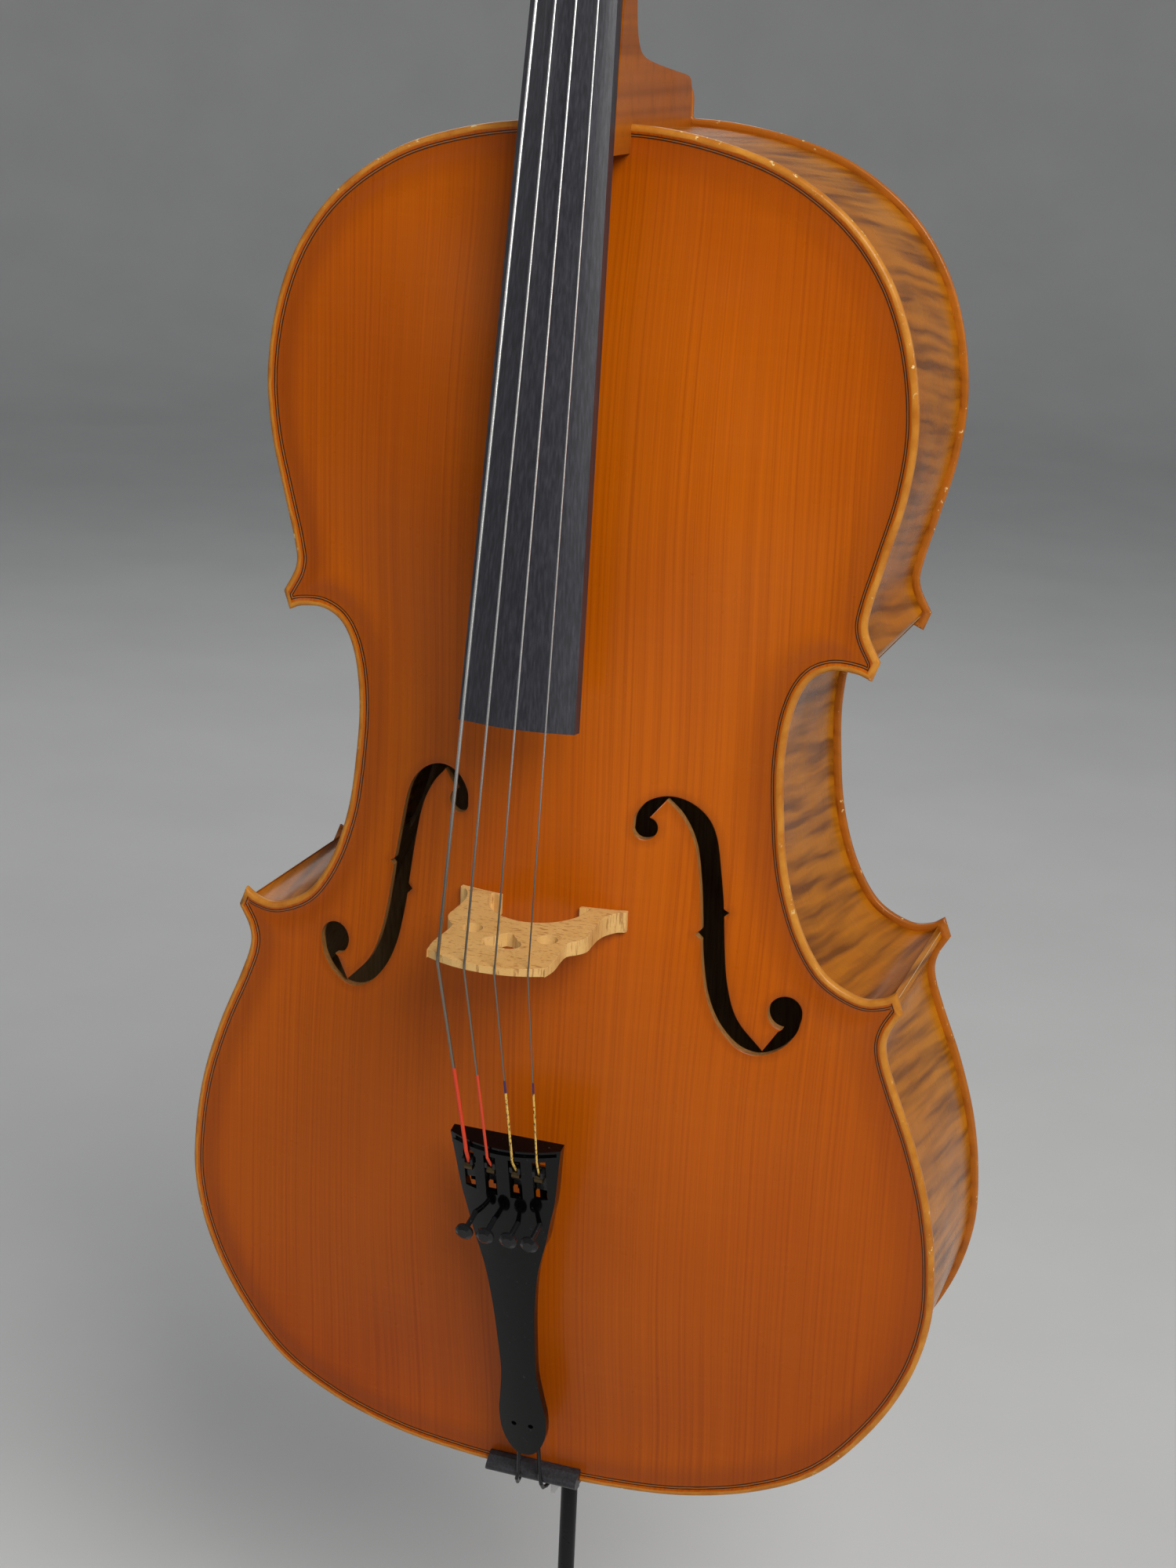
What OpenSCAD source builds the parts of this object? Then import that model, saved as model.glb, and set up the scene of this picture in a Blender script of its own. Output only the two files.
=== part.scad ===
/* [Body] */
// body length, top edge to bottom edge, without the button
body_l = 755; // [740:1:770]
// width across the upper bouts
upper_w = 348; // [335:1:360]
// width across the waist
waist_w = 237; // [225:1:250]
// width across the lower bouts
lower_w = 440; // [425:1:455]
// height of the ribs between the plates
rib_h = 120; // [112:1:125]
// plate thickness at the edge
edge_t = 5; // [4:0.1:5.5]
// how far the plate edges stand out past the ribs
overhang = 4; // [3:0.1:5]
// rib thickness
rib_t = 2; // [1.5:0.1:2.5]
// rise of the top arching above its edge
top_rise = 26; // [22:0.5:30]
// rise of the back arching above its edge
back_rise = 27; // [22:0.5:32]
// purfling width
purf_w = 1.5; // [1.2:0.1:2]
// purfling inset from the plate edge
purf_in = 4; // [3.5:0.1:6]

/* [Neck and strings] */
// neck stop, body edge to nut
neck_stop = 280; // [270:1:290]
// bridge line below the top edge of the body
body_stop = 400; // [390:1:410]
// fingerboard length from the nut
board_l = 574; // [560:1:600]
// fingerboard half width at the nut
board_w0 = 15.8; // [15:0.1:17]
// fingerboard half width at its free end
board_w1 = 30.8; // [30:0.1:33]
// fingerboard thickness at its long edges
board_t = 7.5; // [5:0.1:9]
// height of the fingerboard edge above the plate edge, at the free end
board_lift = 74; // [66:0.5:86]
// height of the bridge crown above the plate edge
crown_lift = 113; // [108:0.5:122]
// string spacing at the bridge
bridge_gap = 16; // [15:0.1:17]
// string spacing at the nut
nut_gap = 7.3; // [7:0.1:8]
// string diameters from the low string to the high string
string_d = [1.7, 1.2, 1.0, 0.8]; // [0.5:0.1:2]

/* [Endpin] */
// length of rod showing below the collar
pin_out = 296; // [200:1:420]
// rod diameter
rod_d = 10; // [8:0.5:12]
// rod length
rod_l = 500; // [400:5:560]

/* [Hidden] */

$fn = 48;
e = 0.01;
half = rib_h / 2;                   // gluing plane of each plate
face = half + edge_t;               // outer face of each plate edge
zb = pin_out + 34;                  // bottom edge of the body above the floor
zn = body_l + neck_stop;            // nut, above the body's bottom edge
zbr = body_l - body_stop;           // bridge line
kz = body_l / 755;
ku = upper_w / 348;
kc = waist_w / 237;
kl = lower_w / 440;
inner = overhang + rib_t;           // inner rib face, in from the plate edge
lining_t = 2.5;
lining_h = 18;

/* outline helpers: curves run from the top centre down the treble side */
function cr(a, b, c, d, t) =
    0.5 * (2 * b + (c - a) * t + (2 * a - 5 * b + 4 * c - d) * t * t + (3 * b - a - 3 * c + d) * t * t * t);
function spline(p, n, a = undef, z = undef) = concat(
    [for (i = [0:len(p) - 2], k = [0:n - 1])
        cr(i > 0 ? p[i - 1] : is_undef(a) ? 2 * p[0] - p[1] : a, p[i], p[i + 1],
           i + 2 < len(p) ? p[i + 2] : is_undef(z) ? 2 * p[i + 1] - p[i] : z, k / n)],
    [p[len(p) - 1]]);
function unit(v) = v / norm(v);
function along(c, i) = unit(c[min(i + 1, len(c) - 1)] - c[max(i - 1, 0)]);
function inset(c, d) = [for (i = [0:len(c) - 1]) let (t = along(c, i)) c[i] + d * [t[1], -t[0]]];
function longer(c, a, b) = let (n = len(c) - 1) concat(
    a > 0 ? [c[0] - a * along(c, 0)] : [], c, b > 0 ? [c[n] + b * along(c, n)] : []);
function meet(a, b) = [for (i = [0:len(a) - 2], j = [0:len(b) - 2])
    let (p = a[i], r = a[i + 1] - p, q = b[j], s = b[j + 1] - q, k = r[0] * s[1] - r[1] * s[0],
         t = k == 0 ? -1 : ((q[0] - p[0]) * s[1] - (q[1] - p[1]) * s[0]) / k,
         u = k == 0 ? -1 : ((q[0] - p[0]) * r[1] - (q[1] - p[1]) * r[0]) / k)
    if (t >= 0 && t <= 1 && u >= 0 && u <= 1) [i, j, p + t * r]][0];
function join(a, b) = let (h = meet(a, b)) concat(
    [for (i = [0:h[0]]) a[i]], [h[2]], [for (j = [h[1] + 1:len(b) - 1]) b[j]]);
function both(h) = concat(h, [for (i = [len(h) - 2:-1:1]) [-h[i][0], h[i][1]]]);
function scaled(p, k) = [for (q = p) [q[0] * k, q[1] * kz]];

upper_c = scaled([[0, 755], [36, 754.1], [72, 747.8], [104, 736.5], [134, 716], [155, 690],
    [168, 658.5], [173.9, 622], [171.6, 588], [164, 555.5], [157.6, 530], [156.8, 517],
    [164.1, 502.4]], ku);
waist_c = scaled([[160.6, 492.5], [152.5, 495.4], [139.6, 495.3], [128.7, 488.1], [121.6, 471.5],
    [118.6, 446], [119.9, 418], [124.3, 385], [134, 355.2], [148, 333.6], [166, 324],
    [178.5, 324.9], [186.4, 329.7]], kc);
lower_c = scaled([[190.7, 318.8], [184.4, 306.5], [183.7, 295], [190, 276.5], [203, 245],
    [213.5, 211], [219, 176], [219.2, 143], [210.5, 108], [192, 72.5], [165, 40.2], [130, 19.6],
    [88, 6.6], [44, 1.2], [0, 0]], kl);
seg = 3;
up_s = spline(upper_c, seg, [-36 * ku, 754.1 * kz]);
wa_s = spline(waist_c, seg);
lo_s = spline(lower_c, seg, undef, [-44 * kl, 1.2 * kz]);
function ring(d) = d == 0 ? both(concat(up_s, wa_s, lo_s)) : both(join(join(
    longer(inset(up_s, d), 0, 22), longer(inset(wa_s, d), 22, 22)), longer(inset(lo_s, d), 22, 0)));
edge_pts = ring(0);
wide = max([for (p = edge_pts) p[0]]);

/* corner tips: middle of the end edge and the outward direction */
tip_up = (up_s[len(up_s) - 1] + wa_s[0]) / 2;
tip_lo = (wa_s[len(wa_s) - 1] + lo_s[0]) / 2;
function corner(a, b, d) = meet(longer(inset(a, d), 0, 22), longer(inset(b, d), 22, 0))[2];
mit_up = unit(corner(up_s, wa_s, overhang) - corner(up_s, wa_s, inner));
mit_lo = unit(corner(wa_s, lo_s, overhang) - corner(wa_s, lo_s, inner));
dir_up = atan2(-0.333, 0.943);
dir_lo = atan2(0.367, 0.930);

/* arching: flute line half widths by height, long arch and cross arch */
flute = spline(scaled([[0, 744], [58, 739], [108, 719], [141, 685], [157, 646], [161, 607],
    [152, 565], [135, 530], [117, 495], [108.5, 462], [107, 430], [111, 395], [124, 360],
    [146, 325], [171, 290], [191, 255], [203.5, 215], [207.5, 170], [203, 130], [188, 90],
    [160, 54], [118, 27], [60, 14.5], [0, 11]], 1), 2, [-58, 739 * kz], [-60, 14.5 * kz]);
widths = [for (p = flute) [p[1], p[0]]];
z0 = 11 * kz;
z1 = 744 * kz;
function long_arch(z) = let (v = min(1, abs(2 * (z - z0) / (z1 - z0) - 1))) (1 + cos(180 * pow(v, 2.7))) / 2;
function cross_arch(t) = (1 + cos(180 * pow(min(1, abs(t)), 1.2))) / 2;
function belly(x, z, rise) = rise * long_arch(z) * cross_arch(x / max(1, lookup(z, widths)));

module slab(y0, y1) { rotate([90, 0, 0]) translate([0, 0, -y1]) linear_extrude(y1 - y0) children(); }
module body() { translate([0, 0, zb]) children(); }

/* dome standing out toward -Y from the plane y = base */
module dome(base, rise) {
    m = 20;
    rows = [for (i = [1:len(flute) - 2]) flute[i]];
    n = len(rows);
    pts = concat([[0, base, z1], [0, base, z0]],
        [for (r = rows, j = [0:m]) let (t = j * 2 / m - 1)
            [t * r[0], base - rise * long_arch(r[1]) * cross_arch(t), r[1]]]);
    function id(i, j) = 2 + i * (m + 1) + j;
    faces = concat(
        [for (i = [0:n - 2], j = [0:m - 1]) [id(i, j), id(i + 1, j), id(i + 1, j + 1)]],
        [for (i = [0:n - 2], j = [0:m - 1]) [id(i, j), id(i + 1, j + 1), id(i, j + 1)]],
        [for (j = [0:m - 1]) [0, id(0, j), id(0, j + 1)]],
        [for (j = [0:m - 1]) [1, id(n - 1, j + 1), id(n - 1, j)]],
        [concat([0], [for (i = [0:n - 1]) id(i, m)], [1], [for (i = [n - 1:-1:0]) id(i, 0)])]);
    polyhedron(pts, [for (f = faces) [for (k = [len(f) - 1:-1:0]) f[k]]], convexity = 4);
}

/* sound hole outline, treble side */
hole_out = spline([[45.8, 404], [46.8, 412], [53, 419.8], [62.7, 422.4], [73, 419.4], [82, 411.6],
    [87.2, 400.5], [90.6, 382], [93.4, 363], [95.6, 342], [99, 321.5], [105.5, 304.3],
    [119.5, 288.6]], 3);
hole_in = spline([[138.3, 308], [135.8, 299], [128.6, 290.4], [118, 286], [106.5, 289.2], [95.5, 300.8],
    [88.3, 316.8], [84.2, 338], [82.4, 357], [80.3, 376], [76.6, 396], [70, 410.4], [61.6, 420.4]], 3);
module sound_hole() {
    polygon(concat(hole_out, [[126.5, 299.5]], hole_in, [[54.6, 411.5]]));
    translate([51.9, 404.8]) circle(6.2);
    translate([129.3, 310]) circle(9);
    translate([94.2, 361]) rotate(45) square(2.6, center = true);
    translate([82.2, 349]) rotate(45) square(2.6, center = true);
}

/* neck line: the gluing face of the fingerboard leans back as it rises */
lean = atan((board_lift) / board_l);
module on_neck() { translate([0, board_t - face, zn]) rotate([-lean, 0, 0]) children(); }
function neck_pt(x, y, z) = [x, board_t - face + y * cos(lean) + z * sin(lean),
    zn - y * sin(lean) + z * cos(lean)];
function board_half(s) = board_w0 + (board_w1 - board_w0) * s / board_l;
board_r = 62;
function sag(w) = board_r - sqrt(board_r * board_r - w * w);
function heel_half(y) = 23.4 - 9.9 * (y + face + 28.6) / (2 * face + 23.6);

/* head: leans back further than the neck */
head_lean = lean + 9;
module on_head() { translate([0, board_t - face, zn]) rotate([-head_lean, 0, 0]) children(); }
peg_s = [30, 82, 102, 50];          // peg positions up the head
peg_n = [16.5, 15.5, 14.5, 15.5];   // depth of each peg axis below the head's front line
peg_side = [-1, -1, 1, 1];
coil_x = [-7.6, -4.2, 4.2, 7];
coil_w = 3.6;
peg_small = 5;
peg_big = 7.1;
function peg_rad(x) = peg_big + (peg_small - peg_big) * (21 - x) / 42;
coil_r = [for (i = [0:3]) peg_rad(peg_side[i] * coil_x[i] + coil_w / 2) + 0.02];
slack = 0.36;

function head_pt(x, n, s) = [x, board_t - face + n * cos(head_lean) + s * sin(head_lean),
    zn - n * sin(head_lean) + s * cos(head_lean)];

/* string path: coil, nut, bridge, tailpiece */
nut_h = 1.2;
nut_x = [for (i = [0:3]) (i - 1.5) * nut_gap];
top_x = [for (i = [0:3]) (i - 1.5) * bridge_gap];
crown_r = 60;
function crown_y(x) = -face - crown_lift + crown_r - sqrt(crown_r * crown_r - x * x);
function nut_y(x) = -face - sag(board_w0) - nut_h + sag(abs(x));

/* tailpiece frame: s runs down the tailpiece from its top edge, n stands out from the belly */
tail_y = -140;
tail_z = 238;
tail_l = 222;
tail_lean = 14.6;
module on_tail() { translate([0, tail_y, tail_z]) rotate([tail_lean, 0, 0]) children(); }
function tail_pt(x, n, s) = [x, tail_y - n * cos(tail_lean) + s * sin(tail_lean),
    tail_z - n * sin(tail_lean) - s * cos(tail_lean)];
slot_x = [-19.8, -7, 7, 19.8];
screw_x = [-18.4, -6.6, 6.6, 18.4];
pivot_s = 24;
pivot_n = -7.5;
screw_s = 49;
arm_n = -12.5;
hook_s = 13;

/* solid through a list of sections with equal point counts */
module loft(secs) {
    m = len(secs[0]);
    n = len(secs);
    polyhedron([for (q = secs) each q], concat(
        [[for (j = [0:m - 1]) j], [for (j = [m - 1:-1:0]) (n - 1) * m + j]],
        [for (i = [0:n - 2], j = [0:m - 1]) [i * m + j, (i + 1) * m + j, (i + 1) * m + (j + 1) % m]],
        [for (i = [0:n - 2], j = [0:m - 1]) [i * m + j, (i + 1) * m + (j + 1) % m, i * m + (j + 1) % m]]),
        convexity = 6);
}
function frames(t, i, u) = i == len(t) ? [] : let (w = unit(u - (u * t[i]) * t[i])) concat([w], frames(t, i + 1, w));
/* round cord through points, with one diameter per point */
module tube(p, d, n = 10) {
    t = [for (i = [0:len(p) - 1]) unit(unit(p[min(i + 1, len(p) - 1)] - p[min(i, len(p) - 2)])
        + unit(p[max(i, 1)] - p[max(i - 1, 0)]))];
    u = frames(t, 0, [1, 0.01, 0.02]);
    loft([for (i = [0:len(p) - 1]) [for (k = [0:n - 1])
        p[i] + d[i] / 2 * (cos(-360 * k / n) * u[i] + sin(-360 * k / n) * cross(t[i], u[i]))]]);
}

/* ---- plates and ribs ---- */
module ring_cut() { difference() { polygon(ring(purf_in)); polygon(ring(purf_in + purf_w)); } }

module neck_gap() {
    translate([0, 0, body_l - 14]) linear_extrude(60)
        polygon([[-heel_half(-face - 20) - 0.02, -face - 20], [heel_half(-face - 20) + 0.02, -face - 20],
            [heel_half(half) + 0.02, half], [-heel_half(half) - 0.02, half]]);
}

module plate_body(rise, thick, holes, button) {
    resize([2 * wide, 0, 0]) difference() {
        union() {
            slab(-face, -half) polygon(edge_pts);
            dome(-face + 0.1, rise + 0.1);
            if (button) slab(-face, -half) translate([0, body_l + 9]) {
                circle(14);
                translate([-14, -14]) square([28, 14]);
            }
        }
        intersection() {
            dome(-half + 0.1, rise + edge_t - thick);
            translate([-300, -200, 52]) cube([600, 200, body_l - 104]);
        }
        slab(-face - 1, -face + 2.02) difference() {
            polygon(ring(purf_in - 0.01));
            polygon(ring(purf_in + purf_w + 0.01));
        }
        if (holes) {
            for (k = [0, 1]) mirror([k, 0, 0]) slab(-120, -40) sound_hole();
            neck_gap();
            translate([-27.6, -face - 2, -1]) cube([55.2, 20, 9.6]);
        }
    }
}

module top_plate() { color("#b5520f") body() plate_body(top_rise, 4.6, true, false); }
module back_plate() { color("#a5480f") body() mirror([0, 1, 0]) plate_body(back_rise, 5.4, false, true); }
module purfling(neck) {
    difference() {
        slab(-face, -face + 2) ring_cut();
        if (neck) {
            neck_gap();
            translate([-27.6, -face - 2, -1]) cube([55.2, 20, 9.6]);
        }
    }
}
module top_purfling() { color("#2a1208") body() purfling(true); }
module back_purfling() { color("#2a1208") body() mirror([0, 1, 0]) purfling(false); }

/* keeps the part of the ribs behind each corner tip */
module tips(x) {
    difference() {
        children();
        for (k = [0, 1]) mirror([k, 0]) {
            translate(tip_up) rotate(dir_up) translate([-x, -20]) square([40, 40]);
            translate(tip_lo) rotate(dir_lo) translate([-x, -20]) square([40, 40]);
        }
    }
}
module rib_shape() {
    tips(4.5) difference() { polygon(ring(overhang)); polygon(ring(inner)); }
}
/* region of one bout on the treble side, split along the corner mitres */
cut_up = corner(up_s, wa_s, inner) - 90 * mit_up;
cut_lo = corner(wa_s, lo_s, inner) - 110 * mit_lo;
far_up = corner(up_s, wa_s, inner) + 40 * mit_up;
far_lo = corner(wa_s, lo_s, inner) + 40 * mit_lo;
module bout(k) {
    intersection() {
        rib_shape();
        if (k == 0) polygon([[0, 800], [260, 800], far_up, cut_up, [0, cut_up[1]]]);
        if (k == 1) polygon([far_up, cut_up, cut_lo, far_lo]);
        if (k == 2) polygon([[0, -20], [260, -20], far_lo, cut_lo, [0, cut_lo[1]]]);
    }
}
module rib(k, side) {
    color("#b8762a") body() mirror([side < 0 ? 1 : 0, 0, 0]) difference() {
        slab(-half, half) bout(k);
        if (k == 0) neck_gap();
        if (k == 2) cylinder(r1 = 12.55, r2 = 12.15, h = 8);
    }
}
module rib_upper_bass() { rib(0, -1); }
module rib_upper_treble() { rib(0, 1); }
module rib_waist_bass() { rib(1, -1); }
module rib_waist_treble() { rib(1, 1); }
module rib_lower_bass() { rib(2, -1); }
module rib_lower_treble() { rib(2, 1); }

module block_masks() {
    translate([-36, body_l - 52]) square([72, 60]);
    translate([-38, -5]) square([76, 57]);
    for (k = [0, 1]) mirror([k, 0]) {
        translate(tip_up) rotate(dir_up) translate([-46, -40]) square([60, 80]);
        translate(tip_lo) rotate(dir_lo) translate([-46, -40]) square([60, 80]);
    }
}
module linings(y0, y1) {
    slab(y0, y1) difference() {
        polygon(ring(inner));
        polygon(ring(inner + lining_t));
        block_masks();
    }
}
module top_linings() { color("#d9b98a") body() linings(-half, -half + lining_h); }
module back_linings() { color("#d9b98a") body() linings(half - lining_h, half); }

module neck_block() {
    color("#dcc299") body() difference() {
        slab(-half, half) intersection() {
            polygon(ring(inner));
            translate([-36, body_l - 52]) square([72, 60]);
        }
        neck_gap();
    }
}
module end_block() {
    color("#dcc299") body() difference() {
        slab(-half, half) intersection() {
            polygon(ring(inner));
            translate([-38, -5]) square([76, 57]);
        }
        cylinder(r1 = 12.55, r2 = 10.05, h = 50 + 5);
        translate([0, 0, -1]) cylinder(r = 10, h = 60);
    }
}
module corner_blocks() {
    color("#dcc299") body() slab(-half, half) tips(4.5) intersection() {
        polygon(ring(inner));
        for (k = [0, 1]) mirror([k, 0]) {
            translate(tip_up) rotate(dir_up) translate([-46, -40]) square([60, 80]);
            translate(tip_lo) rotate(dir_lo) translate([-46, -40]) square([60, 80]);
        }
    }
}

in_rise = top_rise + edge_t - 4.6;
back_in = back_rise + edge_t - 5.4;
module bass_bar() {
    color("#e0c79c") body() loft([for (i = [0:24]) let (z = 90 + i * 24,
        a = -half - belly(-28, z, in_rise) + 0.7, b = -half - belly(-17, z, in_rise) + 0.7, d = b + 6 + 19 * sin(7.5 * i))
        [[-28, a, z], [-17, b, z], [-17, d, z], [-28, d, z]]]);
}

post_x = 23;
post_z = zbr - 22;
module post_cap(rise) {
    g = (belly(post_x + 3, post_z, rise) - belly(post_x - 3, post_z, rise)) / 6;
    translate([post_x, -half - belly(post_x, post_z, rise) + 0.1, post_z]) rotate([0, 0, -atan(g)])
        translate([-30, 0, -30]) cube([60, 160, 60]);
}
module sound_post() {
    color("#e6cfa5") body() intersection() {
        translate([post_x, 100, post_z]) rotate([90, 0, 0]) cylinder(r = 5.5, h = 200);
        post_cap(in_rise);
        mirror([0, 1, 0]) post_cap(back_in);
    }
}

/* ---- neck, head and fingerboard ---- */
neck_len = 262;
module neck_shaft() {
    /* local frame: gluing face at y = 0, neck wood toward +y, nut at z = 0, heel at z = -neck_len */
    w1 = board_half(neck_len);
    intersection() {
        union() {
            translate([0, 3.6, 0]) rotate([179.2, 0, 0]) cylinder(r1 = board_w0, r2 = w1, h = neck_len + 14);
            rotate([90, 0, 0]) translate([0, 0, -4]) linear_extrude(4)
                polygon([[-board_w0, 0], [board_w0, 0], [w1, -neck_len], [-w1, -neck_len]]);
        }
        translate([-40, 0, -neck_len - 6]) cube([80, 60, neck_len + 6]);
    }
}
module heel() {
    z2 = body_l - 13.98;
    y1 = half - e;
    difference() {
        intersection() {
            translate([0, 0, z2]) linear_extrude(120)
                polygon([[-heel_half(-110), -110], [heel_half(-110), -110], [heel_half(y1), y1], [-heel_half(y1), y1]]);
            translate([-40, 0, 0]) rotate([90, 0, 90]) linear_extrude(80)
                polygon(concat([[-110, z2], [y1, z2]],
                    spline([[y1, body_l + 11], [y1 - 2.5, body_l + 17], [y1 - 9, body_l + 21.6],
                        [20, body_l + 24.5], [-20, body_l + 28], [-45, body_l + 31.5], [-56, body_l + 37.5],
                        [-62, body_l + 50], [-66, body_l + 78]], 4), [[-110, body_l + 78]]));
        }
        on_neck() translate([-50, -80, -420]) cube([100, 80, 500]);
    }
}
box_l = 122;
function head_half(s) = 17 - 4.6 * s / 140;
module head_plan(a, b, w) {
    polygon([[-head_half(a) + w, a], [head_half(a) - w, a], [head_half(b) - w, b], [-head_half(b) + w, b]]);
}
/* local head frame: front line at y = 0, wood toward +y, up the head is +z */
module peg_bore(i) {
    translate([0, peg_n[i], peg_s[i]]) rotate([0, peg_side[i] * 90, 0]) translate([0, 0, -25])
        cylinder(r1 = peg_small - 0.2 + 0.05, r2 = peg_big + 0.2 + 0.05, h = 50);
}
scroll_c = [0, 27, 163];
function volute(a) = 31 * pow(0.5, a / 360);
function volute_pt(a) = [volute(a) * cos(a - 180) , volute(a) * sin(a - 180)];
module scroll_layer(a0, w) {
    /* side profile of the spiral from angle a0 inward, w wide */
    translate([-w / 2, scroll_c[1], scroll_c[2]]) rotate([90, 0, 90]) linear_extrude(w)
        polygon(concat([for (a = [a0:12:a0 + 348]) [-volute_pt(a)[0], -volute_pt(a)[1]]]));
}
module head() {
    difference() {
        union() {
            intersection() {
                rotate([90, 0, 0]) translate([0, 0, -60]) linear_extrude(60) head_plan(-8, 146, 0);
                rotate([90, 0, 90]) translate([0, 0, -40]) linear_extrude(80)
                    polygon(concat([[3, -8]], [[0, 0], [0, 118]],
                        spline([[3, 126], [9, 133], [16, 136], [24, 146]], 4),
                        [[42, 146]], spline([[45, 136], [43, 118], [39, 95], [37.5, 60], [34, 30], [27, 8], [20, -8]], 4)));
            }
            scroll_layer(0, 27);
            scroll_layer(300, 39);
            scroll_layer(500, 50);
            translate([-33, scroll_c[1], scroll_c[2]]) rotate([0, 90, 0]) cylinder(r = 7.5, h = 66);
        }
        /* string channel */
        intersection() {
            rotate([90, 0, 0]) translate([0, 0, -60]) linear_extrude(61) head_plan(7.5, box_l, 5.7);
            rotate([90, 0, 90]) translate([0, 0, -40]) linear_extrude(80)
                polygon([[-1, 7.5], [-1, box_l], [6, box_l], [27, box_l - 8], [28.5, 60], [25.8, 26], [17.5, 10], [10, 7.5]]);
        }
        for (i = [0:3]) peg_bore(i);
    }
}
module neck_scroll() {
    color("#b06a24") body() {
        difference() {
            union() {
                on_neck() neck_shaft();
                heel();
            }
            on_neck() translate([-40, -40, 0]) cube([80, 120, 60]);
        }
        on_head() difference() {
            head();
            rotate([head_lean - lean, 0, 0]) translate([-40, -60, -81]) cube([80, 120, 80]);
        }
    }
}

/* playing surface: round, with a flat under the low string */
module board_section(w, x0) {
    polygon(concat([[-w, 0], [w, 0]],
        [for (i = [0:10]) let (x = w - (w + x0) * i / 10) [x, board_t + sag(w) - sag(abs(x))]],
        [[-w, board_t]]));
}
module fingerboard() {
    color("#17171a") body() on_neck() difference() {
        hull() {
            translate([0, -e, -e]) rotate([180, 0, 0]) linear_extrude(e) board_section(board_w0, 4.5);
            translate([0, -e, -board_l]) rotate([180, 0, 0]) linear_extrude(e) board_section(board_w1, 8);
        }
        translate([0, 40, -board_l - 5]) cylinder(r = 45, h = board_l - 268, $fn = 72);
    }
}
nut_top = board_t + sag(board_w0) + nut_h;
module nut() {
    color("#151516") body() on_neck() translate([0, -e, e]) rotate([180, 0, 0]) translate([0, 0, -6.99])
        linear_extrude(6.99) polygon(concat([[-board_w0, 0], [board_w0, 0]],
            [for (i = [0:10]) let (x = board_w0 - 2 * board_w0 * i / 10) [x, nut_top - sag(abs(x))]]));
}

/* ---- pegs: local axis along x, big end on its own side ---- */
module peg_place(i) {
    body() on_head() translate([0, peg_n[i], peg_s[i]]) rotate([0, peg_side[i] * 90, 0]) children();
}
module peg(i) {
    color("#1c1512") peg_place(i) {
        translate([0, 0, -25]) cylinder(r1 = peg_small - 0.2, r2 = peg_big + 0.2, h = 50);
        translate([0, 0, 24.9]) cylinder(r1 = 7.3, r2 = 9.6, h = 3);
        translate([0, 0, 27.9]) cylinder(r1 = 9.6, r2 = 6, h = 3);
        translate([0, 0, 30.8]) cylinder(r = 5.6, h = 8);
        translate([0, 0, 44]) intersection() {
            rotate([90, 0, 0]) cylinder(r = 16, h = 12, center = true);
            translate([-20, -20, -9]) cube([40, 40, 24]);
        }
        translate([0, 0, 58.5]) sphere(r = 2.6);
    }
}
module peg_c() { peg(0); }
module peg_g() { peg(1); }
module peg_d() { peg(2); }
module peg_a() { peg(3); }
module coil(i) {
    d = string_d[i];
    c = peg_side[i] * coil_x[i];
    n = floor(coil_w / (d + 0.05));
    color("#b9b4aa") peg_place(i) for (k = [0:n - 1])
        translate([0, 0, c - coil_w / 2 + (k + 0.5) * coil_w / n])
            rotate_extrude($fn = 40) translate([coil_r[i] + d / 2 + 0.1, 0]) circle(d = d, $fn = 16);
}
module coil_c() { coil(0); }
module coil_g() { coil(1); }
module coil_d() { coil(2); }
module coil_a() { coil(3); }

/* ---- strings ---- */
function ridge_n(x) = 1.5 - (70 - sqrt(4900 - x * x));
function bare(i) = let (d = string_d[i], x0 = nut_x[i], x1 = top_x[i],
    yn = -(nut_top - sag(abs(x0))) - d / 2 - 0.04,
    reach = coil_r[i] + d * 1.5 + slack + 0.2,
    run = norm([peg_n[i] + 9, peg_s[i] - 7]),
    tilt = asin(reach / run))
    [head_pt(coil_x[i], peg_n[i] - reach * cos(tilt * 0.6), peg_s[i] - reach * sin(tilt * 0.6)),
     neck_pt(x0, yn, 7.2), neck_pt(x0, yn, -0.4),
     [x1, crown_y(x1) - d / 2 - 0.04, zbr - 1.2], [x1, crown_y(x1) - d / 2 - 0.04, zbr - 4.4]];
function tail_end(i) = let (d = string_d[i] + 0.3, x = slot_x[i])
    [tail_pt(x, ridge_n(x) + d / 2 + 0.05, 2.4), tail_pt(x, ridge_n(x) + d / 2 + 0.05, 5.6),
     tail_pt(x, -2.6, 14.4)];
silk_from = [0.56, 0.56, 0.57, 0.57];
module string(i) {
    b = bare(i);
    t = tail_end(i);
    d = string_d[i];
    m = b[4] + (t[0] - b[4]) * silk_from[i];
    m2 = b[4] + (t[0] - b[4]) * (silk_from[i] + 0.004);
    color("#c9c4b8") body() tube(concat(b, [m, m2], t), [d, d, d, d, d, d, d + 0.3, d + 0.3, d + 0.3, d + 0.3]);
}
module string_c() { string(0); }
module string_g() { string(1); }
module string_dd() { string(2); }
module string_a() { string(3); }

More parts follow.
